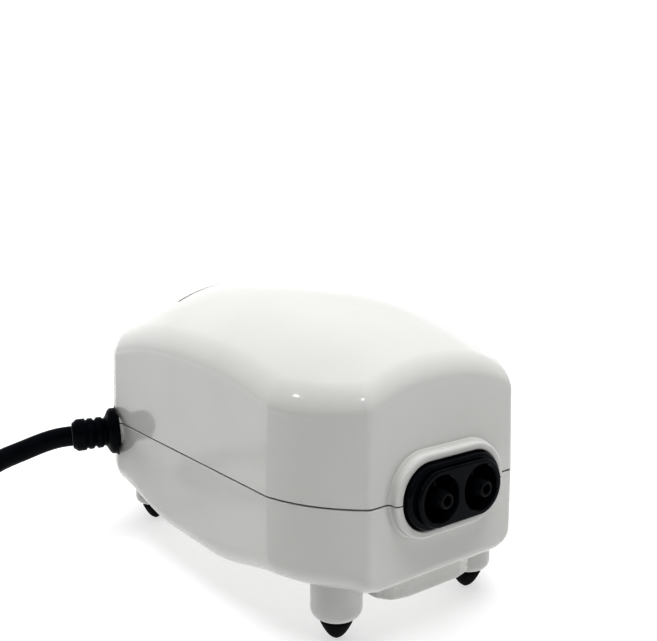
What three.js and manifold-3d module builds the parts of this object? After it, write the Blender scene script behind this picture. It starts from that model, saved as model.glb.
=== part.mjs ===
// Twin-outlet air pump for aquariums and ponds: a two-part case on four legs, a stepped outlet block with two
// barbed nozzles, a ribbed cable gland with its lead, and a vibrating-arm double diaphragm pump inside.
// Millimetres, +Z up. The model is drawn about the middle of the case's parting plane, outlets towards -Y,
// and the whole group is then lifted so that the feet stand on z = 0.
import * as THREE from "three";
import { mergeVertices } from "three/addons/utils/BufferGeometryUtils.js";
import Module from "manifold-3d";

const wasm = await Module();
wasm.setup();

// ---- Driving dimensions -------------------------------------------------------------------------------
const HALF_WIDTH = 38; // case, at the parting plane
const HALF_LENGTH = 65.1;
const CORNER_X = 13.9; // how far each corner facet reaches along the end
const CORNER_Y = 21.9; // and along the side
const CORNER_BULGE = 2.4; // rise of the corner facet's arc over its chord
const CROWN_TOP = 45.4; // top of the crown above the parting plane
const CROWN_DROP_X = 15.5; // fall of the crown to the side walls, and its exponent
const CROWN_POWER_X = 2.32;
const CROWN_DROP_Y = 14.65; // fall of the crown to the end walls, and its exponent
const CROWN_POWER_Y = 2.5;
const TOP_FILLET = 4.5;
const WALL = 2.2;
const CROWN_WALL = 1.5; // the crown is thinner than the upright walls
const DRAFT = 0.5; // inward lean of the cover's wall at its top
const PARTING_GAP = 0.15; // each half stops this far from the parting plane
const FLOOR_DEPTH = 22; // underside of the lower shell at its corners, below the parting plane
const BELLY_DEPTH = 5.4; // extra depth of the belly amidships
const CAVITY_FLOOR = -19.8;
const LEG_X = 23;
const LEG_Y = [-51.3, 47.8]; // front and rear legs
const LEG_RADIUS = 6.5;
const LEG_BOTTOM = -31.4;
const LEG_FILLET = 2.8; // rounding of a leg's lower edge
const GROUND = -37; // underside of the rubber feet
const OUTLET_Z = 0.4; // centre of the outlet block
const RIM = [18.5, 10.6]; // half width and height of the raised rim round the outlet
const RIM_PROUD = 2.5;
const OPENING = [16.1, 8.4];
const FLANGE = [15.7, 8.0]; // visible step of the outlet block, inside the rim
const NECK = [13.3, 6.4];
const FACE_PLATE = [13.9, 7.0];
const NOZZLE_PITCH = 13.4;
const NOZZLE_REACH = 7.2; // nozzle tips, ahead of the front wall
const GAP = 0.3; // between touching pieces
const ARM_X = 22.5; // centreplane of each swing arm
const PIVOT_Y = -40;
const CORE_Y = 27; // middle of the magnet core
const PUMP_Y = -14; // diaphragm centre
const PUMP_Z = -4; // height of the magnets, arms and diaphragms
const INTAKE_Y = PUMP_Y + 22; // middle of the air intake in the floor
const CORE_SCREW_Y = 18; // core screws and outer teeth, either side of the core's middle
const POST_RADIUS = 3.6; // screw posts inside the cover
const CORD_RADIUS = 3.1;
const FRONT = -HALF_LENGTH;

// ---- Materials ----------------------------------------------------------------------------------------
function finish(color, roughness, metalness = 0) {
  return new THREE.MeshStandardMaterial({ color, roughness, metalness });
}
const WHITE_PLASTIC = finish(0xe9e9e6, 0.22);
const BLACK_PLASTIC = finish(0x15171b, 0.3);
const BLACK_RUBBER = finish(0x111214, 0.7);
const GREY_PLASTIC = finish(0x9a9c9c, 0.5);
const NYLON = finish(0xe3ddcd, 0.5);
const STEEL = finish(0xb9bcc0, 0.35, 1);
const LAMINATION = finish(0x6f7278, 0.5, 1);
const COPPER = finish(0xb4682c, 0.35, 1);
const MAGNET = finish(0x4a4c50, 0.4, 0.6);
const SILICONE = finish(0xd9dcd8, 0.4);
const FELT = finish(0xdfddd2, 0.95);
const BROWN_WIRE = finish(0x8b4a2b, 0.5);
const BLUE_WIRE = finish(0x3c5f9c, 0.5);

// ---- Solid helpers ------------------------------------------------------------------------------------
const Y_AXIS = new THREE.Vector3(0, 1, 0);
const Z_AXIS = new THREE.Vector3(0, 0, 1);
const SIDES = [-1, 1]; // left and right, or front and rear
const at = (x, y, z) => new THREE.Vector3(x, y, z);

function signedVolume(position, index) {
  const [a, b, c] = [new THREE.Vector3(), new THREE.Vector3(), new THREE.Vector3()];
  let volume = 0;
  for (let i = 0; i < index.length; i += 3) {
    a.fromBufferAttribute(position, index[i]);
    b.fromBufferAttribute(position, index[i + 1]);
    c.fromBufferAttribute(position, index[i + 2]);
    volume += a.dot(b.cross(c)) / 6;
  }
  return volume;
}

// A closed geometry as a solid with its faces pointing out.
function solid(geometry) {
  const bare = geometry.clone();
  for (const name of Object.keys(bare.attributes)) {
    if (name !== "position") {
      bare.deleteAttribute(name);
    }
  }
  const merged = mergeVertices(bare, 1e-4);
  const index = [];
  const source = merged.index.array;
  for (let i = 0; i < source.length; i += 3) {
    const [a, b, c] = [source[i], source[i + 1], source[i + 2]];
    if (a !== b && b !== c && a !== c) {
      index.push(a, b, c);
    }
  }
  if (signedVolume(merged.attributes.position, index) < 0) {
    index.reverse();
  }
  const mesh = new wasm.Mesh({
    numProp: 3,
    vertProperties: new Float32Array(merged.attributes.position.array),
    triVerts: new Uint32Array(index),
  });
  return new wasm.Manifold(mesh);
}

function geometryOf(piece) {
  const mesh = piece.getMesh();
  const geometry = new THREE.BufferGeometry();
  geometry.setAttribute("position", new THREE.BufferAttribute(new Float32Array(mesh.vertProperties), 3));
  geometry.setIndex(new THREE.BufferAttribute(new Uint32Array(mesh.triVerts), 1));
  return geometry;
}

const joinAll = (pieces) => pieces.reduce((whole, piece) => whole.add(piece));
const cutAll = (piece, tools) => tools.reduce((rest, tool) => rest.subtract(tool), piece);

// A box between two opposite corners.
function box(x0, y0, z0, x1, y1, z1) {
  const geometry = new THREE.BoxGeometry(Math.abs(x1 - x0), Math.abs(y1 - y0), Math.abs(z1 - z0));
  geometry.translate((x0 + x1) / 2, (y0 + y1) / 2, (z0 + z1) / 2);
  return solid(geometry);
}

// Turns a shape drawn about +Y so that its axis points along `axis`, and moves its origin to `at`.
function aim(geometry, axis, at) {
  const turn = new THREE.Quaternion().setFromUnitVectors(Y_AXIS, axis.clone().normalize());
  geometry.applyQuaternion(turn);
  geometry.translate(at.x, at.y, at.z);
  return geometry;
}


// A turned piece from a profile of [radius, distance along the axis].
function turned(profile, segments, axis, place) {
  const points = profile.map(([radius, along]) => new THREE.Vector2(radius, along));
  return solid(aim(new THREE.LatheGeometry(points, segments), axis, place));
}

function rod(radius, from, to, axis, place, segments = 16) {
  return turned([[0, from], [radius, from], [radius, to], [0, to]], segments, axis, place);
}

function ring(inner, outer, from, to, axis, place, segments = 24) {
  const profile = [[inner, from], [outer, from], [outer, to], [inner, to], [inner, from]];
  return turned(profile, segments, axis, place);
}

// A flat shape in the X-Z plane, extruded along Y from `from` to `to`.
function plateAlongY(shape, from, to, bevel = 0, curveSegments = 5) {
  const geometry = new THREE.ExtrudeGeometry(shape, {
    depth: Math.abs(to - from) - 2 * bevel,
    bevelEnabled: bevel > 0,
    bevelThickness: bevel,
    bevelSize: bevel,
    bevelOffset: -bevel,
    bevelSegments: 1,
    curveSegments,
  });
  geometry.rotateX(Math.PI / 2);
  geometry.translate(0, Math.max(from, to) - bevel, 0);
  return solid(geometry);
}

// A flat shape in the X-Y plane, extruded upwards from `from` to `to`.
function plateAlongZ(shape, from, to, curveSegments = 6) {
  const geometry = new THREE.ExtrudeGeometry(shape, { depth: to - from, bevelEnabled: false, curveSegments });
  geometry.translate(0, 0, from);
  return solid(geometry);
}

function roundedRectangle(halfWidth, halfHeight, radius, centreX = 0, centreY = 0) {
  const [x0, x1] = [centreX - halfWidth, centreX + halfWidth];
  const [y0, y1] = [centreY - halfHeight, centreY + halfHeight];
  const shape = new THREE.Shape();
  shape.moveTo(x0 + radius, y0);
  shape.lineTo(x1 - radius, y0);
  shape.absarc(x1 - radius, y0 + radius, radius, -Math.PI / 2, 0);
  shape.lineTo(x1, y1 - radius);
  shape.absarc(x1 - radius, y1 - radius, radius, 0, Math.PI / 2);
  shape.lineTo(x0 + radius, y1);
  shape.absarc(x0 + radius, y1 - radius, radius, Math.PI / 2, Math.PI);
  shape.lineTo(x0, y0 + radius);
  shape.absarc(x0 + radius, y0 + radius, radius, Math.PI, 1.5 * Math.PI);
  return shape;
}

// The outlet's round-ended outline, with nearly semicircular ends.
function slotShape([halfWidth, halfHeight]) {
  return roundedRectangle(halfWidth, halfHeight, halfHeight - 0.05, 0, OUTLET_Z);
}

// A tube along a smooth curve through hand-set points.
function tube(points, radius, sides, steps) {
  const section = new THREE.Shape();
  for (let i = 0; i < sides; i += 1) {
    const angle = (2 * Math.PI * i) / sides;
    const [x, y] = [radius * Math.cos(angle), radius * Math.sin(angle)];
    if (i === 0) {
      section.moveTo(x, y);
    } else {
      section.lineTo(x, y);
    }
  }
  const path = new THREE.CatmullRomCurve3(points);
  return solid(new THREE.ExtrudeGeometry(section, { steps, extrudePath: path, bevelEnabled: false }));
}

// Closed skin through rings of equal point count; its ends are closed by fans to `first` and `last`.
function loft(rings, first, last) {
  const vertices = [first, ...rings.flat(), last];
  const count = rings[0].length;
  const end = vertices.length - 1;
  const index = [];
  for (let i = 0; i < count; i += 1) {
    const next = (i + 1) % count;
    index.push(0, 1 + next, 1 + i);
    for (let r = 0; r + 1 < rings.length; r += 1) {
      const low = 1 + r * count;
      const high = low + count;
      index.push(low + i, low + next, high + next, low + i, high + next, high + i);
    }
    const top = 1 + (rings.length - 1) * count;
    index.push(top + i, top + next, end);
  }
  const geometry = new THREE.BufferGeometry().setFromPoints(vertices);
  geometry.setIndex(index);
  return solid(geometry);
}

// ---- Case outline: straight sides and ends joined by slightly bulged corner facets --------------------
// Each outline point keeps the direction that moves it inward by one millimetre of wall.
function quarterOutline() {
  const sideCrease = new THREE.Vector2(HALF_WIDTH, HALF_LENGTH - CORNER_Y);
  const endCrease = new THREE.Vector2(HALF_WIDTH - CORNER_X, HALF_LENGTH);
  const chord = Math.hypot(CORNER_X, CORNER_Y);
  const radius = chord ** 2 / (8 * CORNER_BULGE) + CORNER_BULGE / 2;
  const outward = new THREE.Vector2(CORNER_Y, CORNER_X).divideScalar(chord);
  const centre = sideCrease.clone().add(endCrease).multiplyScalar(0.5);
  centre.addScaledVector(outward, CORNER_BULGE - radius);
  const start = Math.atan2(sideCrease.y - centre.y, sideCrease.x - centre.x);
  const stop = Math.atan2(endCrease.y - centre.y, endCrease.x - centre.x);
  const mitre = (a, b) => a.clone().add(b).divideScalar(1 + a.dot(b));
  const along = (angle) => new THREE.Vector2(Math.cos(angle), Math.sin(angle));
  const points = [];
  for (const y of [0, 15, 30]) {
    points.push({ x: HALF_WIDTH, y, out: new THREE.Vector2(1, 0) });
  }
  points.push({ x: sideCrease.x, y: sideCrease.y, out: mitre(new THREE.Vector2(1, 0), along(start)) });
  const ARC_STEPS = 4;
  for (let i = 1; i < ARC_STEPS; i += 1) {
    const out = along(start + ((stop - start) * i) / ARC_STEPS);
    points.push({ x: centre.x + radius * out.x, y: centre.y + radius * out.y, out });
  }
  points.push({ x: endCrease.x, y: endCrease.y, out: mitre(along(stop), new THREE.Vector2(0, 1)) });
  points.push({ x: endCrease.x / 2, y: HALF_LENGTH, out: new THREE.Vector2(0, 1) });
  return points;
}

function wholeOutline() {
  const quarter = quarterOutline();
  const middle = { x: 0, y: HALF_LENGTH, out: new THREE.Vector2(0, 1) };
  const flip = (point, sx, sy) => ({
    x: point.x * sx,
    y: point.y * sy,
    out: new THREE.Vector2(point.out.x * sx, point.out.y * sy),
  });
  const half = [...quarter, middle, ...quarter.slice(1).reverse().map((p) => flip(p, -1, 1))];
  return [...half, ...half.map((p) => flip(p, -1, -1))];
}

const OUTLINE = wholeOutline();

// One ring of the outline, moved inward by inset(point) and set at height(x, y).
function outlineRing(inset, height, scale = 1) {
  return OUTLINE.map((point) => {
    const depth = inset(point);
    const x = (point.x - point.out.x * depth) * scale;
    const y = (point.y - point.out.y * depth) * scale;
    return at(x, y, height(x, y, point));
  });
}

function crownHeight(x, y) {
  const fallX = CROWN_DROP_X * Math.abs(x / HALF_WIDTH) ** CROWN_POWER_X;
  const fallY = CROWN_DROP_Y * Math.abs(y / HALF_LENGTH) ** CROWN_POWER_Y;
  return CROWN_TOP - fallX - fallY;
}

// Solid cover shape, `skin` millimetres inside the upright walls and `roof` under the crown, on z = `base`.
function coverBlock(skin, base, roof = skin) {
  const fillet = TOP_FILLET - skin / 2;
  const rings = [outlineRing(() => skin, () => base)];
  for (const turn of [0, 0.33, 0.67, 1]) {
    const angle = (turn * Math.PI) / 2;
    const inset = skin + DRAFT + fillet * (1 - Math.cos(angle));
    const drop = roof + fillet * (1 - Math.sin(angle));
    rings.push(outlineRing(() => inset, (x, y) => crownHeight(x, y) - drop));
  }
  for (const scale of [0.84, 0.64, 0.42, 0.2]) {
    const inset = skin + DRAFT + fillet;
    rings.push(outlineRing(() => inset, (x, y) => crownHeight(x, y) - roof, scale));
  }
  return loft(rings, at(0, 0, base), at(0, 0, CROWN_TOP - roof));
}

// Underside of the lower shell: shallow at the corners, with a deeper belly amidships.
function undersideHeight(y) {
  const step = THREE.MathUtils.smoothstep(Math.abs(y), 12, 46);
  return -(FLOOR_DEPTH + BELLY_DEPTH * (1 - step));
}

// The lower edge is rounded 8 mm at the sides and tighter at the two ends.
const lowerRounding = (point) => 8 - 4.5 * Math.min(1, point.out.y ** 4);

function lowerBlock() {
  const rings = [outlineRing(() => 0, () => -PARTING_GAP)];
  for (const turn of [0, 0.3, 0.6, 0.8, 1]) {
    const angle = (turn * Math.PI) / 2;
    const inset = (point) => lowerRounding(point) * (1 - Math.cos(angle));
    const height = (x, y, point) => undersideHeight(point.y) + lowerRounding(point) * (1 - Math.sin(angle));
    rings.push(outlineRing(inset, height));
  }
  for (const scale of [0.7, 0.35]) {
    rings.push(outlineRing(lowerRounding, (x, y) => undersideHeight(y), scale));
  }
  return loft(rings, at(0, 0, -PARTING_GAP), at(0, 0, undersideHeight(0)));
}

function lowerCavity() {
  const rings = [
    outlineRing(() => WALL, () => 1),
    outlineRing(() => WALL, () => -12.5),
    outlineRing(() => 3.2, () => -16.5),
    outlineRing(() => 5.8, () => CAVITY_FLOOR),
  ];
  return loft(rings, at(0, 0, 1), at(0, 0, CAVITY_FLOOR));
}

// ---- Outlet rim: a raised bead round the opening, half on the cover and half on the lower shell -------
const outletRim = () => plateAlongY(slotShape(RIM), FRONT - RIM_PROUD, FRONT + 1, 1.1);
const outletOpening = () => plateAlongY(slotShape(OPENING), FRONT - 4, FRONT + 4);
const above = () => box(-30, -80, PARTING_GAP, 30, -55, 20);
const below = () => box(-30, -80, -20, 30, -55, -PARTING_GAP);

// ---- Cable gland seat: a round pad across the parting line and the case's rear left upright edge --------
const GLAND_AXIS = at(-0.943, 0.333, -0.05).normalize();
const GLAND_SEAT = at(-38, 43.1, -3.1); // centre of the flange's back face
const GLAND_POCKET_RADIUS = 7.8;
const GLAND_HOLE_RADIUS = 4.7;
const GLAND_SHOULDER = [4.9, 0.6]; // radius and depth of the small shoulder behind the flange
const GLAND_GAP = 0.3; // between the gland and the case
const PAD_FACE = -GLAND_SHOULDER[1] - GLAND_GAP;
const PAD_BACK = -4.4;
const PAD_RADIUS = 5.4;
const PAD_FACE_RADIUS = 5;
const PAD_BEVEL_DEPTH = 0.7;

function glandPocket() {
  const step = GLAND_SHOULDER[0] + GLAND_GAP;
  const profile = [
    [0, PAD_FACE], [step, PAD_FACE], [step, -GLAND_GAP], [GLAND_POCKET_RADIUS, -GLAND_GAP],
    [GLAND_POCKET_RADIUS, 12], [0, 12],
  ];
  return turned(profile, 20, GLAND_AXIS, GLAND_SEAT);
}

const glandHole = () => rod(GLAND_HOLE_RADIUS, -12, 1, GLAND_AXIS, GLAND_SEAT, 16);

// The pad that carries the gland's flange, cut to the part of it between two heights.
function glandPad(low, high) {
  const profile = [
    [0, PAD_BACK], [PAD_RADIUS, PAD_BACK], [PAD_RADIUS, PAD_FACE - PAD_BEVEL_DEPTH],
    [PAD_FACE_RADIUS, PAD_FACE], [0, PAD_FACE],
  ];
  const pad = turned(profile, 24, GLAND_AXIS, GLAND_SEAT);
  return pad.intersect(box(-60, 25, low, -20, 60, high));
}

// The four legs and the screw posts over them share their places.
const legPlaces = [];
for (const [end, y] of [["front", LEG_Y[0]], ["rear", LEG_Y[1]]]) {
  for (const [side, sign] of [["left", -1], ["right", 1]]) {
    legPlaces.push({ name: `${end}_${side}`, x: sign * LEG_X, y });
  }
}

function topCover() {
  const inside = coverBlock(WALL, -1, CROWN_WALL);
  const shell = coverBlock(0, PARTING_GAP).subtract(inside);
  const pad = glandPad(PARTING_GAP, 14);
  const posts = legPlaces.map(({ x, y }) => rod(POST_RADIUS, 2, 32, Z_AXIS, at(x, y, 0), 12));
  const rim = outletRim().intersect(above());
  const heldPosts = joinAll(posts).intersect(coverBlock(0.8, PARTING_GAP));
  const screwHoles = legPlaces.map(({ x, y }) => rod(1.6, -1, 16, Z_AXIS, at(x, y, 0), 8));
  const slot = box(-23.5, 26.2, 30, 23.5, 27.1, 50).subtract(coverBlock(0.9, -1));
  const body = joinAll([shell, pad, heldPosts, rim]);
  return cutAll(body, [outletOpening(), glandPocket(), glandHole(), ...screwHoles, slot]);
}

// Outline of the plinth under the case: it runs between the legs and widens amidships.
function plinthShape(clearance) {
  const c = clearance;
  const half = [
    [9 + c, 62 + c], [13.5 + c, 60.8 + c], [15.7 + c, 57.5 + c], [15.9 + c, 41.2 + c],
    [17.5 + c, 38.6 + c], [24 + c, 36 + c], [24 + c, 0],
  ];
  const mirrored = half.slice(0, -1).reverse().map(([x, y]) => [x, -y]);
  const right = [...half, ...mirrored];
  const left = right.map(([x, y]) => [-x, -y]);
  return new THREE.Shape([...right, ...left].map(([x, y]) => new THREE.Vector2(x, y)));
}

const PLINTH_BOTTOM = -27;
const PLINTH_TOP = -22.3;
const FILTER_POCKET = [15, 10]; // half sizes of the felt's pocket, centred on the pump
const LEG_SOCKET_TOP = -25.5;
const LEG_TOP_RADIUS = 4.6; // the leg's continuation inside the case
const SCREW_WELL_TOP = LEG_SOCKET_TOP + 5.5;

function leg({ x, y }) {
  const profile = [
    [0, LEG_BOTTOM], [LEG_RADIUS - LEG_FILLET, LEG_BOTTOM],
    [LEG_RADIUS - 0.29 * LEG_FILLET, LEG_BOTTOM + 0.29 * LEG_FILLET],
    [LEG_RADIUS, LEG_BOTTOM + LEG_FILLET], [LEG_RADIUS, CAVITY_FLOOR],
    [LEG_TOP_RADIUS, CAVITY_FLOOR], [LEG_TOP_RADIUS, -1], [0, -1],
  ];
  return turned(profile, 20, Z_AXIS, at(x, y, 0));
}

// Stepped hole through a leg: foot socket, screw-head well and shank hole.
function legBore({ x, y }) {
  const profile = [
    [0, LEG_BOTTOM - 1], [2.9, LEG_BOTTOM - 1], [2.9, SCREW_WELL_TOP], [1.8, SCREW_WELL_TOP],
    [1.8, 1], [0, 1],
  ];
  return turned(profile, 14, Z_AXIS, at(x, y, 0));
}

function bottomShell() {
  const outer = lowerBlock();
  const pad = glandPad(-14, -PARTING_GAP);
  const root = CAVITY_FLOOR - 0.5; // inner posts start inside the floor
  const pivotPosts = SIDES.map((s) => rod(4, root, -10.5, Z_AXIS, at(s * ARM_X, PIVOT_Y, 0), 14));
  const coreFeet = SIDES.map((s) => {
    const y = CORE_Y + s * CORE_SCREW_Y;
    return box(-6, y - 4, root, 6, y + 3, -13.3);
  });
  const rim = outletRim().intersect(below());
  const body = joinAll([
    outer.subtract(lowerCavity()), pad, ...pivotPosts, ...coreFeet, rim, ...legPlaces.map(leg),
  ]);
  const inlets = [];
  for (let i = -2; i <= 2; i += 1) {
    inlets.push(rod(1.2, -30, -18, Z_AXIS, at(i * 4.5, INTAKE_Y, 0), 8));
  }
  const pinHoles = SIDES.map((s) => rod(1.8, -17, -5, Z_AXIS, at(s * ARM_X, PIVOT_Y, 0), 10));
  const screwHoles = SIDES.map((s) => rod(1.5, -18, -5, Z_AXIS, at(0, CORE_Y + s * CORE_SCREW_Y, 0), 8));
  const plinthWell = plateAlongZ(plinthShape(GAP), -40, PLINTH_TOP + GAP);
  return cutAll(body, [
    plinthWell.subtract(joinAll(legPlaces.map(leg))), outletOpening(), glandPocket(), glandHole(),
    ...legPlaces.map(legBore), ...inlets, ...pinHoles, ...screwHoles,
  ]);
}

function basePlate() {
  const plate = plateAlongZ(plinthShape(0), PLINTH_BOTTOM, PLINTH_TOP);
  const [halfX, halfY] = FILTER_POCKET;
  const pocket = box(-halfX, INTAKE_Y - halfY, PLINTH_TOP - 2.6, halfX, INTAKE_Y + halfY, PLINTH_TOP + 1);
  const slots = [];
  for (let i = -3; i <= 3; i += 1) {
    slots.push(box(i * 3.6 - 0.8, INTAKE_Y - 7, -30, i * 3.6 + 0.8, INTAKE_Y + 7, -23));
  }
  return cutAll(plate, [pocket, ...slots]);
}

function filterFelt() {
  const [halfX, halfY] = FILTER_POCKET;
  const [x1, y1] = [halfX - GAP, halfY - GAP];
  return box(-x1, INTAKE_Y - y1, PLINTH_TOP - 2.3, x1, INTAKE_Y + y1, PLINTH_TOP - 0.2);
}

// Rubber foot: a bullet-shaped tip with a small flat under it, and a stem pressed into the leg.
function rubberFoot({ x, y }) {
  const shoulder = LEG_BOTTOM - GAP;
  const BLUNTNESS = 3.68; // squared radius gained per millimetre above the flat
  const tip = [0.4, 1.2, 2.4, 3.8].map((h) => [Math.sqrt(BLUNTNESS * h), GROUND + h]);
  const profile = [
    [0, GROUND], [0.9, GROUND], ...tip, [4.1, shoulder - 0.7], [3.5, shoulder],
    [2.5, shoulder], [2.5, LEG_SOCKET_TOP], [0, LEG_SOCKET_TOP],
  ];
  return turned(profile, 14, Z_AXIS, at(x, y, 0));
}

function caseScrew({ x, y }) {
  const head = LEG_SOCKET_TOP + 5.2;
  const profile = [[0, head - 2.2], [2.5, head - 2.2], [2.5, head], [1.3, head], [1.3, 14], [0, 15]];
  return turned(profile, 12, Z_AXIS, at(x, y, 0));
}

// ---- Outlet block and nozzles -------------------------------------------------------------------------
const NOZZLE_X = NOZZLE_PITCH / 2;
const RECESS_RADIUS = 5.7; // room round each nozzle for the airline
const BORE = 1.25;
const BARB = 2.65;

function outletBlock() {
  const inner = FLANGE.map((half) => half + 2.4); // stop behind the wall
  const steps = [
    plateAlongY(slotShape(inner), FRONT + 3, FRONT + 6),
    plateAlongY(slotShape(FLANGE), FRONT - 4, FRONT + 4, 0.4),
    plateAlongY(slotShape(NECK), FRONT - 5, FRONT),
    plateAlongY(slotShape(FACE_PLATE), FRONT - 5.6, FRONT - 4.4, 0.35),
  ];
  const cuts = [];
  for (const side of SIDES) {
    const place = at(side * NOZZLE_X, FRONT, OUTLET_Z);
    cuts.push(rod(RECESS_RADIUS, -8, 2.4, Y_AXIS, place, 20));
    cuts.push(rod(2.5, -8, 8, Y_AXIS, place, 12));
  }
  return cutAll(joinAll(steps), cuts);
}

function nozzle(side) {
  const tip = -NOZZLE_REACH;
  const profile = [
    [BORE, tip], [1.95, tip], [BARB, tip + 3.4], [BARB, tip + 3.9], [2.0, tip + 4.2], [2.0, 2.1],
    [2.2, 2.4], [2.2, 6.3], [1.9, 6.6], [1.9, 11], [BORE, 11], [BORE, tip],
  ];
  return turned(profile, 14, Y_AXIS, at(side * NOZZLE_X, FRONT, OUTLET_Z));
}

// ---- Cable gland, lead and plug -----------------------------------------------------------------------
function cableGland() {
  const [shoulderRadius, shoulder] = GLAND_SHOULDER;
  const profile = [
    [3.4, -11], [4.0, -11], [4.3, -4.2], [4.3, -shoulder], [shoulderRadius, -shoulder],
    [shoulderRadius, 0], [7.2, 0], [7.2, 1.9], [6.6, 2.6], [4.9, 3.5], [4.3, 4.0],
    [4.9, 4.5], [4.9, 6.1], [4.3, 6.5], [4.3, 7.0], [4.9, 7.4], [4.9, 8.7], [4.3, 9.1], [5.1, 9.7],
    [5.1, 12.2], [3.6, 13.6], [3.4, 13.6], [3.4, -11],
  ];
  return turned(profile, 16, GLAND_AXIS, GLAND_SEAT);
}

// The lead's route: level out of the gland, sagging down to the ground and round into the coil.
const CORD_ROUTE = [
  [-51.2, 47.7, -3.8], [-54.8, 49.0, -4.1], [-59.2, 49.7, -4.9], [-66, 49.5, -6.4], [-72.9, 48.0, -7.6],
  [-79.5, 45.2, -9.4], [-85.5, 41.0, -12.0], [-90.8, 35.8, -15.2], [-96.0, 30.7, -18.8],
  [-101.6, 26.6, -22.8], [-107.6, 23.8, -27.3], [-113, 22.4, -31.2], [-117.5, 22, -33.4],
].map((p) => at(...p));
const COIL_CENTRE = [-117.5, 66];
const COIL_OUTER = 44; // centreline radius of the first turn
const COIL_INNER = 24.8;
const COIL_TOP = GROUND + 4 * CORD_RADIUS + 0.5;
// The free end leaves the coil's upper layer, climbs onto it and turns into the plug.
const TAIL_ROUTE = [
  [-105.8, 31.6, -23.0], [-111.2, 29.4, -21.2], [-117.4, 28.0, -20.2],
  [-124.2, 28.2, -19.7], [-131.2, 30.6, -18.9], [-137.0, 34.8, -18.1], [-140.9, 40.2, -17.4],
  [-142.4, 45.4, -16.9], [-142.5, 48.2, -16.9],
].map((p) => at(...p));
const PLUG_AT = at(-142.5, 48.6, -16.9);

function coilRing() {
  const [x, y] = COIL_CENTRE;
  const [inner, outer] = [COIL_INNER - CORD_RADIUS, COIL_OUTER + CORD_RADIUS];
  return ring(inner, outer, GROUND, COIL_TOP, Z_AXIS, at(x, y, 0), 40);
}

function coilClearance() {
  const [x, y] = COIL_CENTRE;
  const [inner, outer] = [COIL_INNER - CORD_RADIUS - GAP, COIL_OUTER + CORD_RADIUS + GAP];
  return ring(inner, outer, GROUND - 1, COIL_TOP + GAP, Z_AXIS, at(x, y, 0), 40);
}

const cordRun = () => tube(CORD_ROUTE, CORD_RADIUS, 8, 16).subtract(coilClearance());
const cordTail = () => tube(TAIL_ROUTE, CORD_RADIUS, 8, 12).subtract(coilClearance());

const pinPlace = (side) => at(PLUG_AT.x + side * 8.8, PLUG_AT.y, PLUG_AT.z);

function plugBody() {
  const taper = [[0, 0], [3.6, 0], [4.0, 2], [5.6, 20], [5.6, 26], [0, 26]];
  const relief = turned(taper, 16, Y_AXIS, PLUG_AT);
  const outline = new THREE.Shape();
  outline.moveTo(-8, 18);
  outline.lineTo(8, 18);
  outline.quadraticCurveTo(17.5, 24, 17.5, 36);
  outline.lineTo(15.5, 50);
  outline.quadraticCurveTo(15, 54, 11, 54);
  outline.lineTo(-11, 54);
  outline.quadraticCurveTo(-15, 54, -15.5, 50);
  outline.lineTo(-17.5, 36);
  outline.quadraticCurveTo(-17.5, 24, -8, 18);
  const slab = new THREE.ExtrudeGeometry(outline, {
    depth: 9, bevelEnabled: true, bevelThickness: 2.2, bevelSize: 2, bevelOffset: -2, bevelSegments: 2,
    curveSegments: 5,
  });
  slab.translate(PLUG_AT.x, PLUG_AT.y, PLUG_AT.z - 4.5);
  const pinHoles = SIDES.map((s) => rod(2.3, 46, 60, Y_AXIS, pinPlace(s), 12));
  return cutAll(relief.add(solid(slab)), pinHoles);
}

function plugPin(side) {
  const profile = [[0, 46.4], [2, 46.4], [2, 71.5], [1.2, 72.6], [0, 72.6]];
  return turned(profile, 14, Y_AXIS, pinPlace(side));
}

// Wire tie that holds the coil's turns together, round the ring's section on its right.
function coilTie() {
  const [x, y] = COIL_CENTRE;
  const [x0, x1] = [x + COIL_INNER - CORD_RADIUS, x + COIL_OUTER + CORD_RADIUS];
  const band = box(x0 - 1.4, y - 2, GROUND, x1 + 1.4, y + 2, COIL_TOP + 1.2);
  const clear = box(x0 - 0.5, y - 3, GROUND - 1, x1 + 0.5, y + 3, COIL_TOP + GAP);
  return band.subtract(clear);
}

// ---- Electromagnet: a double-E core with a winding on each middle tooth -------------------------------
const CORE_HALF_HEIGHT = 9;
const TOOTH_HALF_WIDTH = 4.5; // middle tooth, inside the windings
const TOOTH_END = 15.7;

function magnetCore() {
  const z0 = PUMP_Z - CORE_HALF_HEIGHT;
  const z1 = PUMP_Z + CORE_HALF_HEIGHT;
  const spine = box(-4, CORE_Y - CORE_SCREW_Y - 3, z0, 4, CORE_Y + CORE_SCREW_Y + 3, z1);
  const teeth = [-CORE_SCREW_Y, 0, CORE_SCREW_Y].map((dy) => {
    const half = dy === 0 ? TOOTH_HALF_WIDTH : 3;
    return box(-TOOTH_END, CORE_Y + dy - half, z0, TOOTH_END, CORE_Y + dy + half, z1);
  });
  const holes = SIDES.map((s) => rod(1.8, z0 - 1, z1 + 1, Z_AXIS, at(0, CORE_Y + s * CORE_SCREW_Y, 0), 12));
  return cutAll(joinAll([spine, ...teeth]), holes);
}

// Rectangular sleeve along X round the middle tooth.
function sleeve(side, x0, x1, inner, outer) {
  const around = (from, to, margin) => {
    const y = TOOTH_HALF_WIDTH + margin;
    const z = CORE_HALF_HEIGHT + margin;
    return box(side * from, CORE_Y - y, PUMP_Z - z, side * to, CORE_Y + y, PUMP_Z + z);
  };
  return around(x0, x1, outer).subtract(around(x0 - 1, x1 + 1, inner));
}

function bobbin(side) {
  return joinAll([
    sleeve(side, 4.4, 15.4, GAP, 1.2), sleeve(side, 4.4, 5.4, GAP, 5.6), sleeve(side, 14.4, 15.4, GAP, 5.6),
  ]);
}

const winding = (side) => sleeve(side, 5.7, 14.1, 1.5, 5.2);

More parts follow.
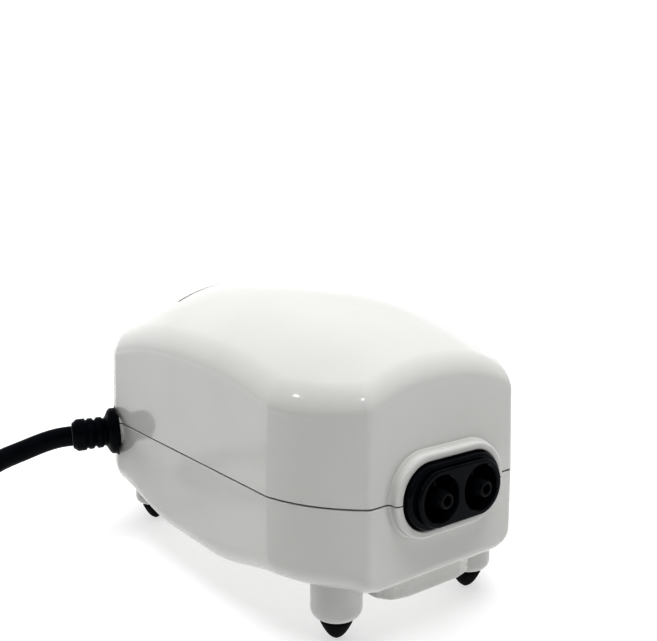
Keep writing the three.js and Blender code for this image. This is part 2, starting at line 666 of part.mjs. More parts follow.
function coreScrew(side) {
  const top = PUMP_Z + CORE_HALF_HEIGHT + GAP;
  const profile = [
    [0, -17.5], [1.2, -17.5], [1.2, top], [3.2, top], [3.2, top + 1.4], [2.2, top + 2.2], [0, top + 2.2],
  ];
  return turned(profile, 12, Z_AXIS, at(0, CORE_Y + side * CORE_SCREW_Y, 0));
}

// ---- Swing arms, each with its magnet and the piston that works the diaphragm -------------------------
function swingArm(side) {
  const [low, high] = [PUMP_Z - 5, PUMP_Z + 5];
  const bar = box(side * (ARM_X - 1.5), PIVOT_Y + 2.5, low, side * (ARM_X + 1.5), CORE_Y + 9, high);
  const eye = rod(4.4, low, high, Z_AXIS, at(side * ARM_X, PIVOT_Y, 0), 18);
  const pad = box(side * (ARM_X - 2.2), CORE_Y - 9, PUMP_Z - 8, side * (ARM_X + 1.5), CORE_Y + 9, PUMP_Z + 8);
  const bore = rod(1.85, low - 1, high + 1, Z_AXIS, at(side * ARM_X, PIVOT_Y, 0), 16);
  return joinAll([bar, eye, pad]).subtract(bore);
}

function magnetBlock(side) {
  return box(side * 17.7, CORE_Y - 8, PUMP_Z - 7, side * 20, CORE_Y + 8, PUMP_Z + 7);
}

function piston(side) {
  const axis = at(side, 0, 0);
  const profile = [
    [0, 12.4], [1.2, 12.4], [1.2, 14.6], [6.2, 14.6], [6.2, 16.2], [2.6, 16.8], [2.6, 20.7], [0, 20.7],
  ];
  return turned(profile, 18, axis, at(0, PUMP_Y, PUMP_Z));
}

function pivotPin(side) {
  const profile = [[0, -16.6], [1.5, -16.6], [1.5, 2.2], [3, 2.2], [3, 3.6], [2.4, 4.2], [0, 4.2]];
  return turned(profile, 16, Z_AXIS, at(side * ARM_X, PIVOT_Y, 0));
}

// ---- Pump chambers: valve body, flaps, diaphragm and clamp ring ---------------------------------------
function pumpChamber(side) {
  const half = 14; // the chamber block is square
  const block = box(side * 0.4, PUMP_Y - half, PUMP_Z - half, side * 10.9, PUMP_Y + half, PUMP_Z + half);
  const axis = at(side, 0, 0);
  const spigotPlace = at(side * NOZZLE_X, PUMP_Y, OUTLET_Z);
  const spigot = turned([[0, -19.5], [1.9, -19.5], [1.9, -13], [0, -13]], 14, Y_AXIS, spigotPlace);
  const cavity = rod(9.5, 7.6, 12, axis, at(0, PUMP_Y, PUMP_Z), 18);
  const outlet = rod(1.1, -21, 3, Y_AXIS, spigotPlace, 10);
  const outletPort = rod(1.1, NOZZLE_X, 9, axis, at(0, PUMP_Y + 2, OUTLET_Z), 10);
  const inletPort = rod(1.1, 4, 9, axis, at(0, PUMP_Y - 3, PUMP_Z - 5), 10);
  const inlet = rod(1.1, -16, 0, Z_AXIS, at(side * 4.6, PUMP_Y - 3, PUMP_Z - 4), 10);
  return cutAll(block.add(spigot), [cavity, outlet, outletPort, inletPort, inlet]);
}

// A valve flap lies on the cavity's floor, between two corners given from the diaphragm's centre.
function flap(side, y0, z0, y1, z1) {
  return box(side * 7.9, PUMP_Y + y0, PUMP_Z + z0, side * 8.4, PUMP_Y + y1, PUMP_Z + z1);
}

const intakeFlap = (side) => flap(side, -5.4, -7, -0.8, -2.4);
const outletFlap = (side) => flap(side, -0.4, 1.8, 4.6, 7);

function diaphragm(side) {
  const profile = [
    [1.6, 11.4], [6.4, 11.4], [7.6, 12.6], [8.6, 11.2], [13.2, 11.2], [13.2, 12.4], [9.2, 12.4], [7.8, 13.7],
    [6, 12.6], [1.6, 12.6], [1.6, 11.4],
  ];
  return turned(profile, 18, at(side, 0, 0), at(0, PUMP_Y, PUMP_Z));
}

const clampRing = (side) => ring(10, 13.4, 12.7, 14.4, at(side, 0, 0), at(0, PUMP_Y, PUMP_Z), 24);
const TUBE_START = FRONT + 6.8; // just behind the nozzle's collar
const TUBE_LENGTH = 27.7; // to the pump chamber

function airTube(side) {
  return ring(2.2, 3.3, 0, TUBE_LENGTH, Y_AXIS, at(side * NOZZLE_X, TUBE_START, OUTLET_Z), 16);
}

// ---- Wiring inside ------------------------------------------------------------------------------------
const cordClamp = () => box(-29, 34, CAVITY_FLOOR + GAP, -24.6, 42, -15.6);

function leadWire(side) {
  const start = GLAND_SEAT.clone().addScaledVector(GLAND_AXIS, -11.4);
  const lift = 1.7 * side;
  const points = [
    at(start.x, start.y, start.z + lift), at(start.x + 5, start.y, start.z + 1 + lift),
    at(-16, 42, 8.5 + lift), at(-10, 40, 12.4 + lift), at(side < 0 ? -9 : -5, CORE_Y + 5, 13.6 + lift),
  ];
  return tube(points, 0.8, 8, 10);
}

// ---- Assembly -----------------------------------------------------------------------------------------
const group = new THREE.Group();
group.position.set(0, NOZZLE_REACH / 2, -GROUND);

function place(name, piece, material) {
  const mesh = new THREE.Mesh(geometryOf(piece), material);
  mesh.name = name;
  group.add(mesh);
}

place("top_cover", topCover(), WHITE_PLASTIC);
place("bottom_shell", bottomShell(), WHITE_PLASTIC);
place("base_plate", basePlate(), WHITE_PLASTIC);
place("filter_felt", filterFelt(), FELT);
place("outlet_block", outletBlock(), BLACK_PLASTIC);
for (const corner of legPlaces) {
  place(`foot_${corner.name}`, rubberFoot(corner), BLACK_RUBBER);
  place(`case_screw_${corner.name}`, caseScrew(corner), STEEL);
}
place("cable_gland", cableGland(), BLACK_RUBBER);
place("cord_run", cordRun(), BLACK_RUBBER);
place("cord_coil", coilRing(), BLACK_RUBBER);
place("cord_tail", cordTail(), BLACK_RUBBER);
place("coil_tie", coilTie(), BLACK_PLASTIC);
place("plug_body", plugBody(), BLACK_PLASTIC);
place("cord_clamp", cordClamp(), GREY_PLASTIC);
place("live_wire", leadWire(1), BROWN_WIRE);
place("neutral_wire", leadWire(-1), BLUE_WIRE);
place("magnet_core", magnetCore(), LAMINATION);
place("core_screw_front", coreScrew(-1), STEEL);
place("core_screw_rear", coreScrew(1), STEEL);
for (const [name, side] of [["left", -1], ["right", 1]]) {
  place(`nozzle_${name}`, nozzle(side), BLACK_PLASTIC);
  place(`plug_pin_${name}`, plugPin(side), STEEL);
  place(`bobbin_${name}`, bobbin(side), NYLON);
  place(`winding_${name}`, winding(side), COPPER);
  place(`swing_arm_${name}`, swingArm(side), GREY_PLASTIC);
  place(`arm_magnet_${name}`, magnetBlock(side), MAGNET);
  place(`piston_${name}`, piston(side), STEEL);
  place(`pivot_pin_${name}`, pivotPin(side), STEEL);
  place(`pump_chamber_${name}`, pumpChamber(side), GREY_PLASTIC);
  place(`intake_flap_${name}`, intakeFlap(side), BLACK_RUBBER);
  place(`outlet_flap_${name}`, outletFlap(side), BLACK_RUBBER);
  place(`diaphragm_${name}`, diaphragm(side), BLACK_RUBBER);
  place(`clamp_ring_${name}`, clampRing(side), GREY_PLASTIC);
  place(`air_tube_${name}`, airTube(side), SILICONE);
}

export default group;
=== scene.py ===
"""Looks of the twin-outlet air pump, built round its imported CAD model.

Shapes are written in millimetres in the case's own frame: the origin is the middle of the parting plane, +Z is up
and the outlets face -Y. `row` turns such a point into the row frame's metres.
"""

import math

import bmesh
import bpy
from mathutils import Matrix, Vector


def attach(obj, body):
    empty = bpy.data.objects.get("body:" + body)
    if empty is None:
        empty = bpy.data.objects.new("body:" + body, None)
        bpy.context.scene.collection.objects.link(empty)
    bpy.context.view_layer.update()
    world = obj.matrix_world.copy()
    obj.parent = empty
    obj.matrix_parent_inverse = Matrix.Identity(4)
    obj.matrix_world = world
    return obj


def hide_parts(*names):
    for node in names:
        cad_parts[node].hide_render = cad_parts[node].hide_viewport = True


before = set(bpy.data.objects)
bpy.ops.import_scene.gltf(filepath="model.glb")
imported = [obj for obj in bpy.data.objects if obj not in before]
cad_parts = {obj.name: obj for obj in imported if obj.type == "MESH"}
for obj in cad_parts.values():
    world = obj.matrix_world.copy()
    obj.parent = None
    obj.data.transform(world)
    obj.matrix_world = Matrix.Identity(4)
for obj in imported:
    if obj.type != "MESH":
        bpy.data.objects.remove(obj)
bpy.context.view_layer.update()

# ---- Driving dimensions, as in the CAD ---------------------------------------------------------------
NOZZLE_REACH = 7.2
GROUND = -37
LIFT = Vector((0, NOZZLE_REACH / 2, -GROUND))
HALF_WIDTH = 38
HALF_LENGTH = 65.1
FRONT = -HALF_LENGTH
CORNER_X = 13.9
CORNER_Y = 21.9
CORNER_BULGE = 2.4
CROWN_TOP = 45.4
CROWN_DROP_X = 15.5
CROWN_POWER_X = 2.32
CROWN_DROP_Y = 14.65
CROWN_POWER_Y = 2.5
TOP_FILLET = 4.5
WALL = 2.2
CROWN_WALL = 1.5
DRAFT = 0.5
PARTING_GAP = 0.15
FLOOR_DEPTH = 22
BELLY_DEPTH = 5.4
CAVITY_FLOOR = -19.8
LEG_BOTTOM = -31.4
LEG_RADIUS = 6.5
LEG_SOCKET_TOP = -25.5
OUTLET_Z = 0.4
NOZZLE_X = 6.7
ARM_X = 22.5
PIVOT_Y = -40
CORE_Y = 27
PUMP_Y = -14
PUMP_Z = -4
GAP = 0.3
PLINTH_BOTTOM = -27
PLINTH_TOP = -22.3
CORD_RADIUS = 3.1
LEGS = {
    "front_left": (-23, -51.3),
    "front_right": (23, -51.3),
    "rear_left": (-23, 47.8),
    "rear_right": (23, 47.8),
}
GLAND_AXIS = Vector((-0.943, 0.333, -0.05)).normalized()
GLAND_SEAT = Vector((-38, 43.1, -3.1))
SHOULDER_RADIUS = 4.9  # the small shoulder behind the gland's flange
SHOULDER_DEPTH = 0.6
GLAND_GAP = 0.3  # between the gland and the case
PAD_FACE = -SHOULDER_DEPTH - GLAND_GAP
X_AXIS = Vector((1, 0, 0))
Y_AXIS = Vector((0, 1, 0))
Z_AXIS = Vector((0, 0, 1))


def row(point):
    """A point in the case's frame, in millimetres, as a point in the row frame, in metres."""
    return (Vector(point) + LIFT) / 1000


# ---- Camera ------------------------------------------------------------------------------------------
CAMERA_AT = (-141.9, -201.64, 69.81)
CAMERA_RIGHT = Vector((0.7911, -0.6117, 0.0016))
CAMERA_FORWARD = Vector((0.6055, 0.7827, -0.1441))


def add_camera():
    data = bpy.data.cameras.new("camera")
    data.sensor_width = 36
    data.lens = 45.48
    camera = bpy.data.objects.new("camera", data)
    bpy.context.scene.collection.objects.link(camera)
    forward = CAMERA_FORWARD.normalized()
    right = (CAMERA_RIGHT - forward * CAMERA_RIGHT.dot(forward)).normalized()
    up = right.cross(forward)
    turn = Matrix((right, up, -forward)).transposed()
    camera.matrix_world = Matrix.Translation(row(CAMERA_AT)) @ turn.to_4x4()
    bpy.context.scene.camera = camera


# ---- Mesh helpers ------------------------------------------------------------------------------------
def link(name, data):
    piece = bpy.data.objects.new(name, data)
    bpy.context.scene.collection.objects.link(piece)
    return piece


def solid(name, vertices, faces):
    """A closed mesh from points in the case's frame, with its faces turned outward."""
    mesh = bpy.data.meshes.new(name)
    mesh.from_pydata([row(v) for v in vertices], [], faces)
    editor = bmesh.new()
    editor.from_mesh(mesh)
    bmesh.ops.recalc_face_normals(editor, faces=editor.faces)
    editor.to_mesh(mesh)
    editor.free()
    return link(name, mesh)


def loft(name, rings, first=None, last=None):
    """A closed skin through rings of equal point count. Each end is a fan to its point, or one face."""
    count = len(rings[0])
    vertices = [point for ring in rings for point in ring]
    faces = []
    for r in range(len(rings) - 1):
        for i in range(count):
            j = (i + 1) % count
            faces.append((r * count + i, r * count + j, (r + 1) * count + j, (r + 1) * count + i))
    for start, point in ((0, first), ((len(rings) - 1) * count, last)):
        if point is None:
            faces.append(tuple(range(start, start + count)))
            continue
        vertices.append(point)
        tip = len(vertices) - 1
        faces += [(start + i, start + (i + 1) % count, tip) for i in range(count)]
    return solid(name, vertices, faces)


def hoop(name, rings):
    """A closed ring-shaped skin: the last ring of points joins the first."""
    count = len(rings[0])
    vertices = [point for ring in rings for point in ring]
    faces = []
    for r in range(len(rings)):
        s = (r + 1) % len(rings)
        for i in range(count):
            j = (i + 1) % count
            faces.append((r * count + i, r * count + j, s * count + j, s * count + i))
    return solid(name, vertices, faces)


def rounded(corners, steps=4, closed=False):
    """The corners (x, y, radius) as points, with an arc of that radius in place of each sharp corner."""
    points = []
    for k, (x, y, radius) in enumerate(corners):
        corner = Vector((x, y))
        if radius == 0 or (not closed and k in (0, len(corners) - 1)):
            points.append(corner)
            continue
        before = Vector(corners[k - 1][:2]) - corner
        after = Vector(corners[(k + 1) % len(corners)][:2]) - corner
        half = before.angle(after) / 2
        reach = min(radius / math.tan(half), 0.48 * before.length, 0.48 * after.length)
        centre = corner + (before.normalized() + after.normalized()).normalized() * (reach / math.cos(half))
        start = corner + before.normalized() * reach - centre
        stop = corner + after.normalized() * reach - centre
        sweep = math.pi - 2 * half
        for i in range(steps + 1):
            share = i / steps
            a = math.sin((1 - share) * sweep) / math.sin(sweep)
            b = math.sin(share * sweep) / math.sin(sweep)
            points.append(centre + start * a + stop * b)
    return points


def turned(name, profile, axis=Z_AXIS, place=(0, 0, 0), segments=64):
    """A piece turned about `axis` from (radius, distance along it) points, closed on the axis or itself."""
    turn = Z_AXIS.rotation_difference(axis)
    origin = Vector(place)
    vertices = []
    rings = []
    for radius, along in profile:
        first = len(vertices)
        if radius < 1e-6:
            vertices.append(origin + turn @ Vector((0, 0, along)))
            rings.append([first] * segments)
            continue
        for k in range(segments):
            angle = 2 * math.pi * k / segments
            spoke = Vector((radius * math.cos(angle), radius * math.sin(angle), along))
            vertices.append(origin + turn @ spoke)
        rings.append(list(range(first, first + segments)))
    pairs = list(zip(rings, rings[1:]))
    if len(set(rings[0])) > 1:
        pairs.append((rings[-1], rings[0]))
    faces = []
    for low, high in pairs:
        for i in range(segments):
            j = (i + 1) % segments
            corners = list(dict.fromkeys((low[i], low[j], high[j], high[i])))
            if len(corners) > 2:
                faces.append(corners)
    return solid(name, vertices, faces)


def rod(radius, start, stop, axis, place, segments=48):
    return turned("rod", [(0, start), (radius, start), (radius, stop), (0, stop)], axis, place, segments)


def block(low, high):
    (x0, y0, z0), (x1, y1, z1) = low, high
    base = [(x0, y0, z0), (x1, y0, z0), (x1, y1, z0), (x0, y1, z0)]
    roof = [(x, y, z1) for x, y, _ in base]
    return loft("block", [base, roof])


def apply_modifiers(piece):
    graph = bpy.context.evaluated_depsgraph_get()
    mesh = bpy.data.meshes.new_from_object(piece.evaluated_get(graph))
    piece.modifiers.clear()
    piece.data = mesh


def combine(piece, tool, operation):
    """Joins, cuts or intersects a closed piece with a closed tool, and removes the tool."""
    step = piece.modifiers.new("combine", "BOOLEAN")
    step.operation = operation
    step.solver = "MANIFOLD"
    step.object = tool
    apply_modifiers(piece)
    bpy.data.objects.remove(tool)
    return piece


def cut(piece, *tools):
    for tool in tools:
        combine(piece, tool, "DIFFERENCE")
    return piece


def join(piece, *tools):
    for tool in tools:
        combine(piece, tool, "UNION")
    return piece


def keep(piece, tool):
    return combine(piece, tool, "INTERSECT")


def smooth(piece, angle=30, even=False):
    """Smooth shading with edges sharper than `angle` degrees kept; `even` weights the normals by face area."""
    piece.data.shade_smooth()
    piece.data.set_sharp_from_angle(angle=math.radians(angle))
    if even:
        weights = piece.modifiers.new("even_shading", "WEIGHTED_NORMAL")
        weights.keep_sharp = True
    return piece


def smoothstep(value, low, high):
    share = min(1, max(0, (value - low) / (high - low)))
    return share * share * (3 - 2 * share)


# ---- Case outline: straight sides and ends, bulged corner facets, small roundings at the creases --------
SIDE_CREASE_RADIUS = 5
END_CREASE_RADIUS = 3
CREASE_STEPS = 5
OUTLINE_STEP = 2.6  # spacing of the points along the straights and the facets


def heading(angle):
    return Vector((math.cos(angle), math.sin(angle)))


def crease(apex, turn_from, turn_to, radius):
    """The rounding at an outline corner. All its points move inward along the corner's mitre."""
    before = heading(turn_from)
    after = heading(turn_to)
    mitre = (before + after) / (1 + before.dot(after))
    centre = apex - mitre * radius
    points = []
    for k in range(CREASE_STEPS + 1):
        angle = turn_from + (turn_to - turn_from) * k / CREASE_STEPS
        points.append((centre + heading(angle) * radius, mitre))
    return points


def quarter_outline():
    """Outline points from the middle of the +X side to the middle of the +Y end, each with its inward move."""
    side_apex = Vector((HALF_WIDTH, HALF_LENGTH - CORNER_Y))
    end_apex = Vector((HALF_WIDTH - CORNER_X, HALF_LENGTH))
    chord = math.hypot(CORNER_X, CORNER_Y)
    radius = chord**2 / (8 * CORNER_BULGE) + CORNER_BULGE / 2
    outward = Vector((CORNER_Y, CORNER_X)) / chord
    centre = (side_apex + end_apex) / 2 + outward * (CORNER_BULGE - radius)
    start = math.atan2(side_apex.y - centre.y, side_apex.x - centre.x)
    stop = math.atan2(end_apex.y - centre.y, end_apex.x - centre.x)
    side_crease = crease(side_apex, 0, start, SIDE_CREASE_RADIUS)
    end_crease = crease(end_apex, stop, math.pi / 2, END_CREASE_RADIUS)
    points = []
    count = round(side_crease[0][0].y / OUTLINE_STEP)
    for k in range(count):
        points.append((Vector((HALF_WIDTH, side_crease[0][0].y * k / count)), Vector((1, 0))))
    points += side_crease
    first = start + (side_crease[-1][0] - side_apex).length / radius
    last = stop - (end_crease[0][0] - end_apex).length / radius
    count = round((last - first) * radius / OUTLINE_STEP)
    for k in range(1, count):
        out = heading(first + (last - first) * k / count)
        points.append((centre + out * radius, out))
    points += end_crease
    count = round(end_crease[-1][0].x / OUTLINE_STEP)
    for k in range(1, count + 1):
        points.append((Vector((end_crease[-1][0].x * (1 - k / count), HALF_LENGTH)), Vector((0, 1))))
    return points


def whole_outline():
    def mirrored(points, sx, sy):
        return [(Vector((p.x * sx, p.y * sy)), Vector((o.x * sx, o.y * sy))) for p, o in points]

    quarter = quarter_outline()
    half = quarter + mirrored(quarter[1:-1][::-1], -1, 1)
    return half + mirrored(half, -1, -1)


OUTLINE = whole_outline()


def outline_ring(inset, height, scale=1.0):
    """One ring of the outline, moved inward by `inset` and set at `height`; both may depend on x and y."""
    ring = []
    for point, out in OUTLINE:
        depth = inset(point.x, point.y) if callable(inset) else inset
        spot = (point - out * depth) * scale
        ring.append((spot.x, spot.y, height(spot.x, spot.y) if callable(height) else height))
    return ring


def crown(x, y):
    fall_x = CROWN_DROP_X * abs(x / HALF_WIDTH) ** CROWN_POWER_X
    fall_y = CROWN_DROP_Y * abs(y / HALF_LENGTH) ** CROWN_POWER_Y
    return CROWN_TOP - fall_x - fall_y


def cover_block(skin, base, lip=(), roof=None):
    """Solid shape of the cover, `skin` inside the upright walls and `roof` under the crown, or `skin` there too.

    `lip` holds the (inset, height) of its lower edge.
    """
    roof = skin if roof is None else roof
    fillet = TOP_FILLET - skin / 2
    rings = [outline_ring(skin + inset, height) for inset, height in lip]
    if not lip:
        rings = [outline_ring(skin, base)]
    steps = 10
    for k in range(steps + 1):
        angle = k / steps * math.pi / 2
        inset = skin + DRAFT + fillet * (1 - math.cos(angle))
        drop = roof + fillet * (1 - math.sin(angle))
        rings.append(outline_ring(inset, lambda x, y, drop=drop: crown(x, y) - drop))
    crown_rings = 20
    for k in range(1, crown_rings):
        scale = 1 - k / crown_rings
        rings.append(outline_ring(skin + DRAFT + fillet, lambda x, y: crown(x, y) - roof, scale))
    return loft("cover", rings, None, (0, 0, CROWN_TOP - roof))


def underside(y):
    return -(FLOOR_DEPTH + BELLY_DEPTH * (1 - smoothstep(abs(y), 12, 46)))


def lower_rounding(x, _y):
    """The lower edge is rounded 8 mm at the sides and tighter at the two ends."""
    return 3.5 + 4.5 * smoothstep(abs(x), 19, 30)


def lower_block():
    lip = [(0.34, 0), (0.16, 0.05), (0.04, 0.18), (0, 0.4)]
    rings = [outline_ring(inset, -PARTING_GAP - drop) for inset, drop in lip]
    rings.append(outline_ring(0, -6))
    steps = 12
    for k in range(steps + 1):
        angle = k / steps * math.pi / 2
        ring = []
        for point, out in OUTLINE:
            radius = lower_rounding(point.x, point.y)
            spot = point - out * (radius * (1 - math.cos(angle)))
            ring.append((spot.x, spot.y, underside(point.y) + radius * (1 - math.sin(angle))))
        rings.append(ring)
    for scale in (0.85, 0.7, 0.55, 0.4, 0.2):
        rings.append(outline_ring(lower_rounding, lambda x, y: underside(y), scale))
    return loft("lower", rings, None, (0, 0, underside(0)))


def lower_cavity():
    steps = ((WALL, 2), (WALL, -12.5), (3.2, -16.5), (5.8, CAVITY_FLOOR))
    rings = [outline_ring(inset, height) for inset, height in steps]
    return loft("cavity", rings)


# ---- Outlet rim -----------------------------------------------------------------------------------------
def slot_ring(half_width, half_height, y, arc_steps=28):
    """A round-ended outline in the plane at `y`, centred on the outlet."""
    spine = half_width - half_height
    ring = []
    for side, first in ((1, -math.pi / 2), (-1, math.pi / 2)):
        for k in range(arc_steps + 1):
            angle = first + math.pi * k / arc_steps
            x = side * spine + half_height * math.cos(angle)
            ring.append((x, y, OUTLET_Z + half_height * math.sin(angle)))
        for k in range(1, 4):
            x = side * spine * (1 - k / 2)
            ring.append((x, y, OUTLET_Z + side * half_height))
    return ring


def slot_block(name, half_width, half_height, profile):
    """A round-ended block along Y from (inset, y) points."""
    return loft(name, [slot_ring(half_width - inset, half_height - inset, y) for inset, y in profile])


RIM = (18.5, 10.6)
RIM_OPENING = (16.1, 8.4)
RIM_FRONT = FRONT - 2.5


def outlet_rim():
    """The bead round the opening: flared where it meets the wall, rolled outside, with a small inner edge."""
    width, height = RIM
    depth = 3
    profile = rounded(
        [(-0.6, FRONT + 0.9, 0), (-0.4, FRONT - 0.05, 0.5), (0.15, FRONT - 0.6, 0.5), (0.1, RIM_FRONT, 1.75),
         (depth, RIM_FRONT, 0), (depth, FRONT + 0.9, 0)],
        5,
    )
    return hoop("rim", [slot_ring(width - inset, height - inset, y) for inset, y in profile])


def outlet_opening():
    """The opening with a small rounded edge at its mouth."""
    width, height = RIM_OPENING
    profile = rounded(
        [(0, FRONT + 4.2, 0), (0, RIM_FRONT, 0.5), (-1.4, RIM_FRONT, 0), (-1.4, RIM_FRONT - 2, 0)], 4
    )
    return slot_block("opening", width, height, profile)


def half_space(sign):
    """The room above or below the parting gap round the outlet."""
    low = min(sign * PARTING_GAP, sign * 20)
    return block((-30, -80, low), (30, -55, low + 20 - PARTING_GAP))


# ---- Gland seat, posts and legs -------------------------------------------------------------------------
def gland_tools():
    """The stepped pocket for the gland's shoulder and flange, and the hole through the case."""
    step = SHOULDER_RADIUS + GLAND_GAP
    profile = [(0, PAD_FACE), (step, PAD_FACE), (step, -GLAND_GAP), (7.8, -GLAND_GAP), (7.8, 12), (0, 12)]
    pocket = turned("pocket", profile, GLAND_AXIS, GLAND_SEAT, 96)
    hole = rod(4.7, -12, 1, GLAND_AXIS, GLAND_SEAT)
    return pocket, hole


def gland_pad(low, high):
    """The round pad that carries the gland's flange across the case's edge, between two heights."""
    profile = [(0, -4.4), (5.4, -4.4), (5.4, PAD_FACE - 0.7), (5, PAD_FACE), (0, PAD_FACE)]
    pad = turned("pad", profile, GLAND_AXIS, GLAND_SEAT, 96)
    return keep(pad, block((-60, 25, low), (-20, 60, high)))


def cover_shell():
    lip = ((0.2, PARTING_GAP), (0.05, PARTING_GAP + 0.06), (0, PARTING_GAP + 0.2))
    shell = cut(cover_block(0, PARTING_GAP, lip), cover_block(WALL, -1, roof=CROWN_WALL))
    join(shell, gland_pad(PARTING_GAP, 14))
    for x, y in LEGS.values():
        join(shell, keep(rod(3.6, 2, 32, Z_AXIS, (x, y, 0)), cover_block(0.8, PARTING_GAP)))
    join(shell, keep(outlet_rim(), half_space(1)))
    cut(shell, outlet_opening(), *gland_tools())
    for x, y in LEGS.values():
        cut(shell, rod(1.6, -1, 16, Z_AXIS, (x, y, 0), 24))
    groove = cut(block((-23.5, 25.9, 30), (23.5, 27.5, 50)), cover_block(1.0, -1))
    cut(shell, groove)
    shell.name = "cover_shell"
    return smooth(shell, 28, even=True)


def plinth_outline(clearance):
    corners = [(9, 62), (13.5, 60.8), (15.7, 57.5), (15.9, 41.2), (17.5, 38.6), (24, 36)]
    quarter = [(x + clearance, y + clearance) for x, y in corners]
    half = quarter + [(x, -y) for x, y in quarter[::-1]]
    return half + [(-x, -y) for x, y in half]


def leg(x, y):
    fillet = 2.8
    profile = rounded(
        [(0, LEG_BOTTOM, 0), (LEG_RADIUS, LEG_BOTTOM, fillet), (LEG_RADIUS, CAVITY_FLOOR, 0),
         (4.6, CAVITY_FLOOR, 0), (4.6, -1, 0), (0, -1, 0)],
        8,
    )
    return turned("leg", profile, Z_AXIS, (x, y, 0), 96)


def leg_bore(x, y):
    well = LEG_SOCKET_TOP + 5.5
    profile = [(0, LEG_BOTTOM - 1), (2.9, LEG_BOTTOM - 1), (2.9, well), (1.8, well), (1.8, 1), (0, 1)]
    return turned("bore", profile, Z_AXIS, (x, y, 0), 48)


def seam_tongue():
    """The lip inside the cover that closes the parting line, open at the outlet and the gland."""
    rings = [outline_ring(inset, height) for inset, height in ((2.5, -2), (2.5, 1.6), (3.4, 1.6), (3.4, -2))]
    tongue = hoop("tongue", rings)
    flange_room = block((-20, -66, -12), (20, -55, 12))
    return cut(tongue, flange_room, rod(9.8, -6, 2, GLAND_AXIS, GLAND_SEAT))


def lower_shell():
    shell = cut(lower_block(), lower_cavity())
    join(shell, gland_pad(-14, -PARTING_GAP))
    join(shell, keep(outlet_rim(), half_space(-1)))
    for x, y in LEGS.values():
        join(shell, leg(x, y))
    for side in (-1, 1):
        join(shell, rod(4, CAVITY_FLOOR - 0.5, -10.5, Z_AXIS, (side * ARM_X, PIVOT_Y, 0)))
        foot_y = CORE_Y + side * 18
        join(shell, block((-6, foot_y - 4, CAVITY_FLOOR - 0.5), (6, foot_y + 3, -13.3)))
    well = loft("well", [[(x, y, z) for x, y in plinth_outline(GAP)] for z in (-40, PLINTH_TOP + GAP)])
    for x, y in LEGS.values():
        cut(well, leg(x, y))
    cut(shell, well, outlet_opening(), *gland_tools())
    join(shell, seam_tongue())
    for x, y in LEGS.values():
        cut(shell, leg_bore(x, y))
    for side in (-1, 1):
        cut(shell, rod(1.8, -17, -5, Z_AXIS, (side * ARM_X, PIVOT_Y, 0), 24))
        cut(shell, rod(1.5, -18, -5, Z_AXIS, (0, CORE_Y + side * 18, 0), 24))
    for k in range(-2, 3):
        cut(shell, rod(1.2, -30, -18, Z_AXIS, (k * 4.5, PUMP_Y + 22, 0), 24))
    shell.name = "lower_shell"
    return smooth(shell, 28, even=True)


# ---- Plinth ---------------------------------------------------------------------------------------------
FELT_POCKET = (15, 10)
INTAKE_Y = PUMP_Y + 22


def plinth_ring(inset, z):
    """The plinth's outline with its corners rounded, moved inward by `inset`."""
    corners = [(x, y, 2.5) for x, y in plinth_outline(0)]
    points = rounded(corners, 5, closed=True)
    longest = max(abs(point.y) for point in points)
    widest = max(abs(point.x) for point in points)
    return [(p.x * (1 - inset / widest), p.y * (1 - inset / longest), z) for p in points]


def plinth_tray():
    profile = rounded(
        [(1.5, PLINTH_TOP, 0), (0, PLINTH_TOP, 0.2), (0, PLINTH_BOTTOM, 0.9), (2.5, PLINTH_BOTTOM, 0)], 5
    )
    tray = loft("plinth_tray", [plinth_ring(inset, z) for inset, z in profile])
    half_x, half_y = FELT_POCKET
    low = (-half_x, INTAKE_Y - half_y, PLINTH_TOP - 2.6)
    cut(tray, block(low, (half_x, INTAKE_Y + half_y, PLINTH_TOP + 1)))
    for k in range(-3, 4):
        x = k * 3.6
        cut(tray, block((x - 0.8, INTAKE_Y - 6.2, -30), (x + 0.8, INTAKE_Y + 6.2, -23)))
        for end in (-6.2, 6.2):
            cut(tray, rod(0.8, -30, -23, Z_AXIS, (x, INTAKE_Y + end, 0), 24))
    return smooth(tray, 30, even=True)


# ---- Feet, outlet block and nozzles ---------------------------------------------------------------------
def foot_tip(name, x, y):
    """A bullet-shaped rubber tip with a small flat under it and a stem up into the leg."""
    bluntness = 3.68
    shoulder = LEG_BOTTOM - GAP
    profile = [(0, GROUND), (0.6, GROUND)]
    for k in range(14):
        height = 0.24 + k * 0.33
        profile.append((math.sqrt(bluntness * height), GROUND + height))
    profile += [tuple(p) for p in rounded([(4.12, shoulder - 0.7, 0), (4.2, shoulder, 0.5), (2.5, shoulder, 0)], 4)]
    profile += [(2.5, LEG_SOCKET_TOP), (0, LEG_SOCKET_TOP)]
    return smooth(turned(name, profile, Z_AXIS, (x, y, 0), 64), 40)


FLANGE = (15.7, 8.0)
NECK = (13.3, 6.4)
FACE_PLATE = (13.9, 7.0)
STOP = (18.1, 10.4)
PLATE_FRONT = -5.6  # ahead of the front wall


def recess(side):
    """The room round a nozzle, with a fine chamfer at its mouth and a rounded bottom."""
    profile = rounded(
        [(0, 2.4, 0), (5.7, 2.4, 1.0), (5.7, PLATE_FRONT + 0.28, 0), (5.98, PLATE_FRONT, 0), (5.98, -8, 0), (0, -8, 0)],
        5,
    )
    return turned("recess", profile, Y_AXIS, (side * NOZZLE_X, FRONT, OUTLET_Z), 96)


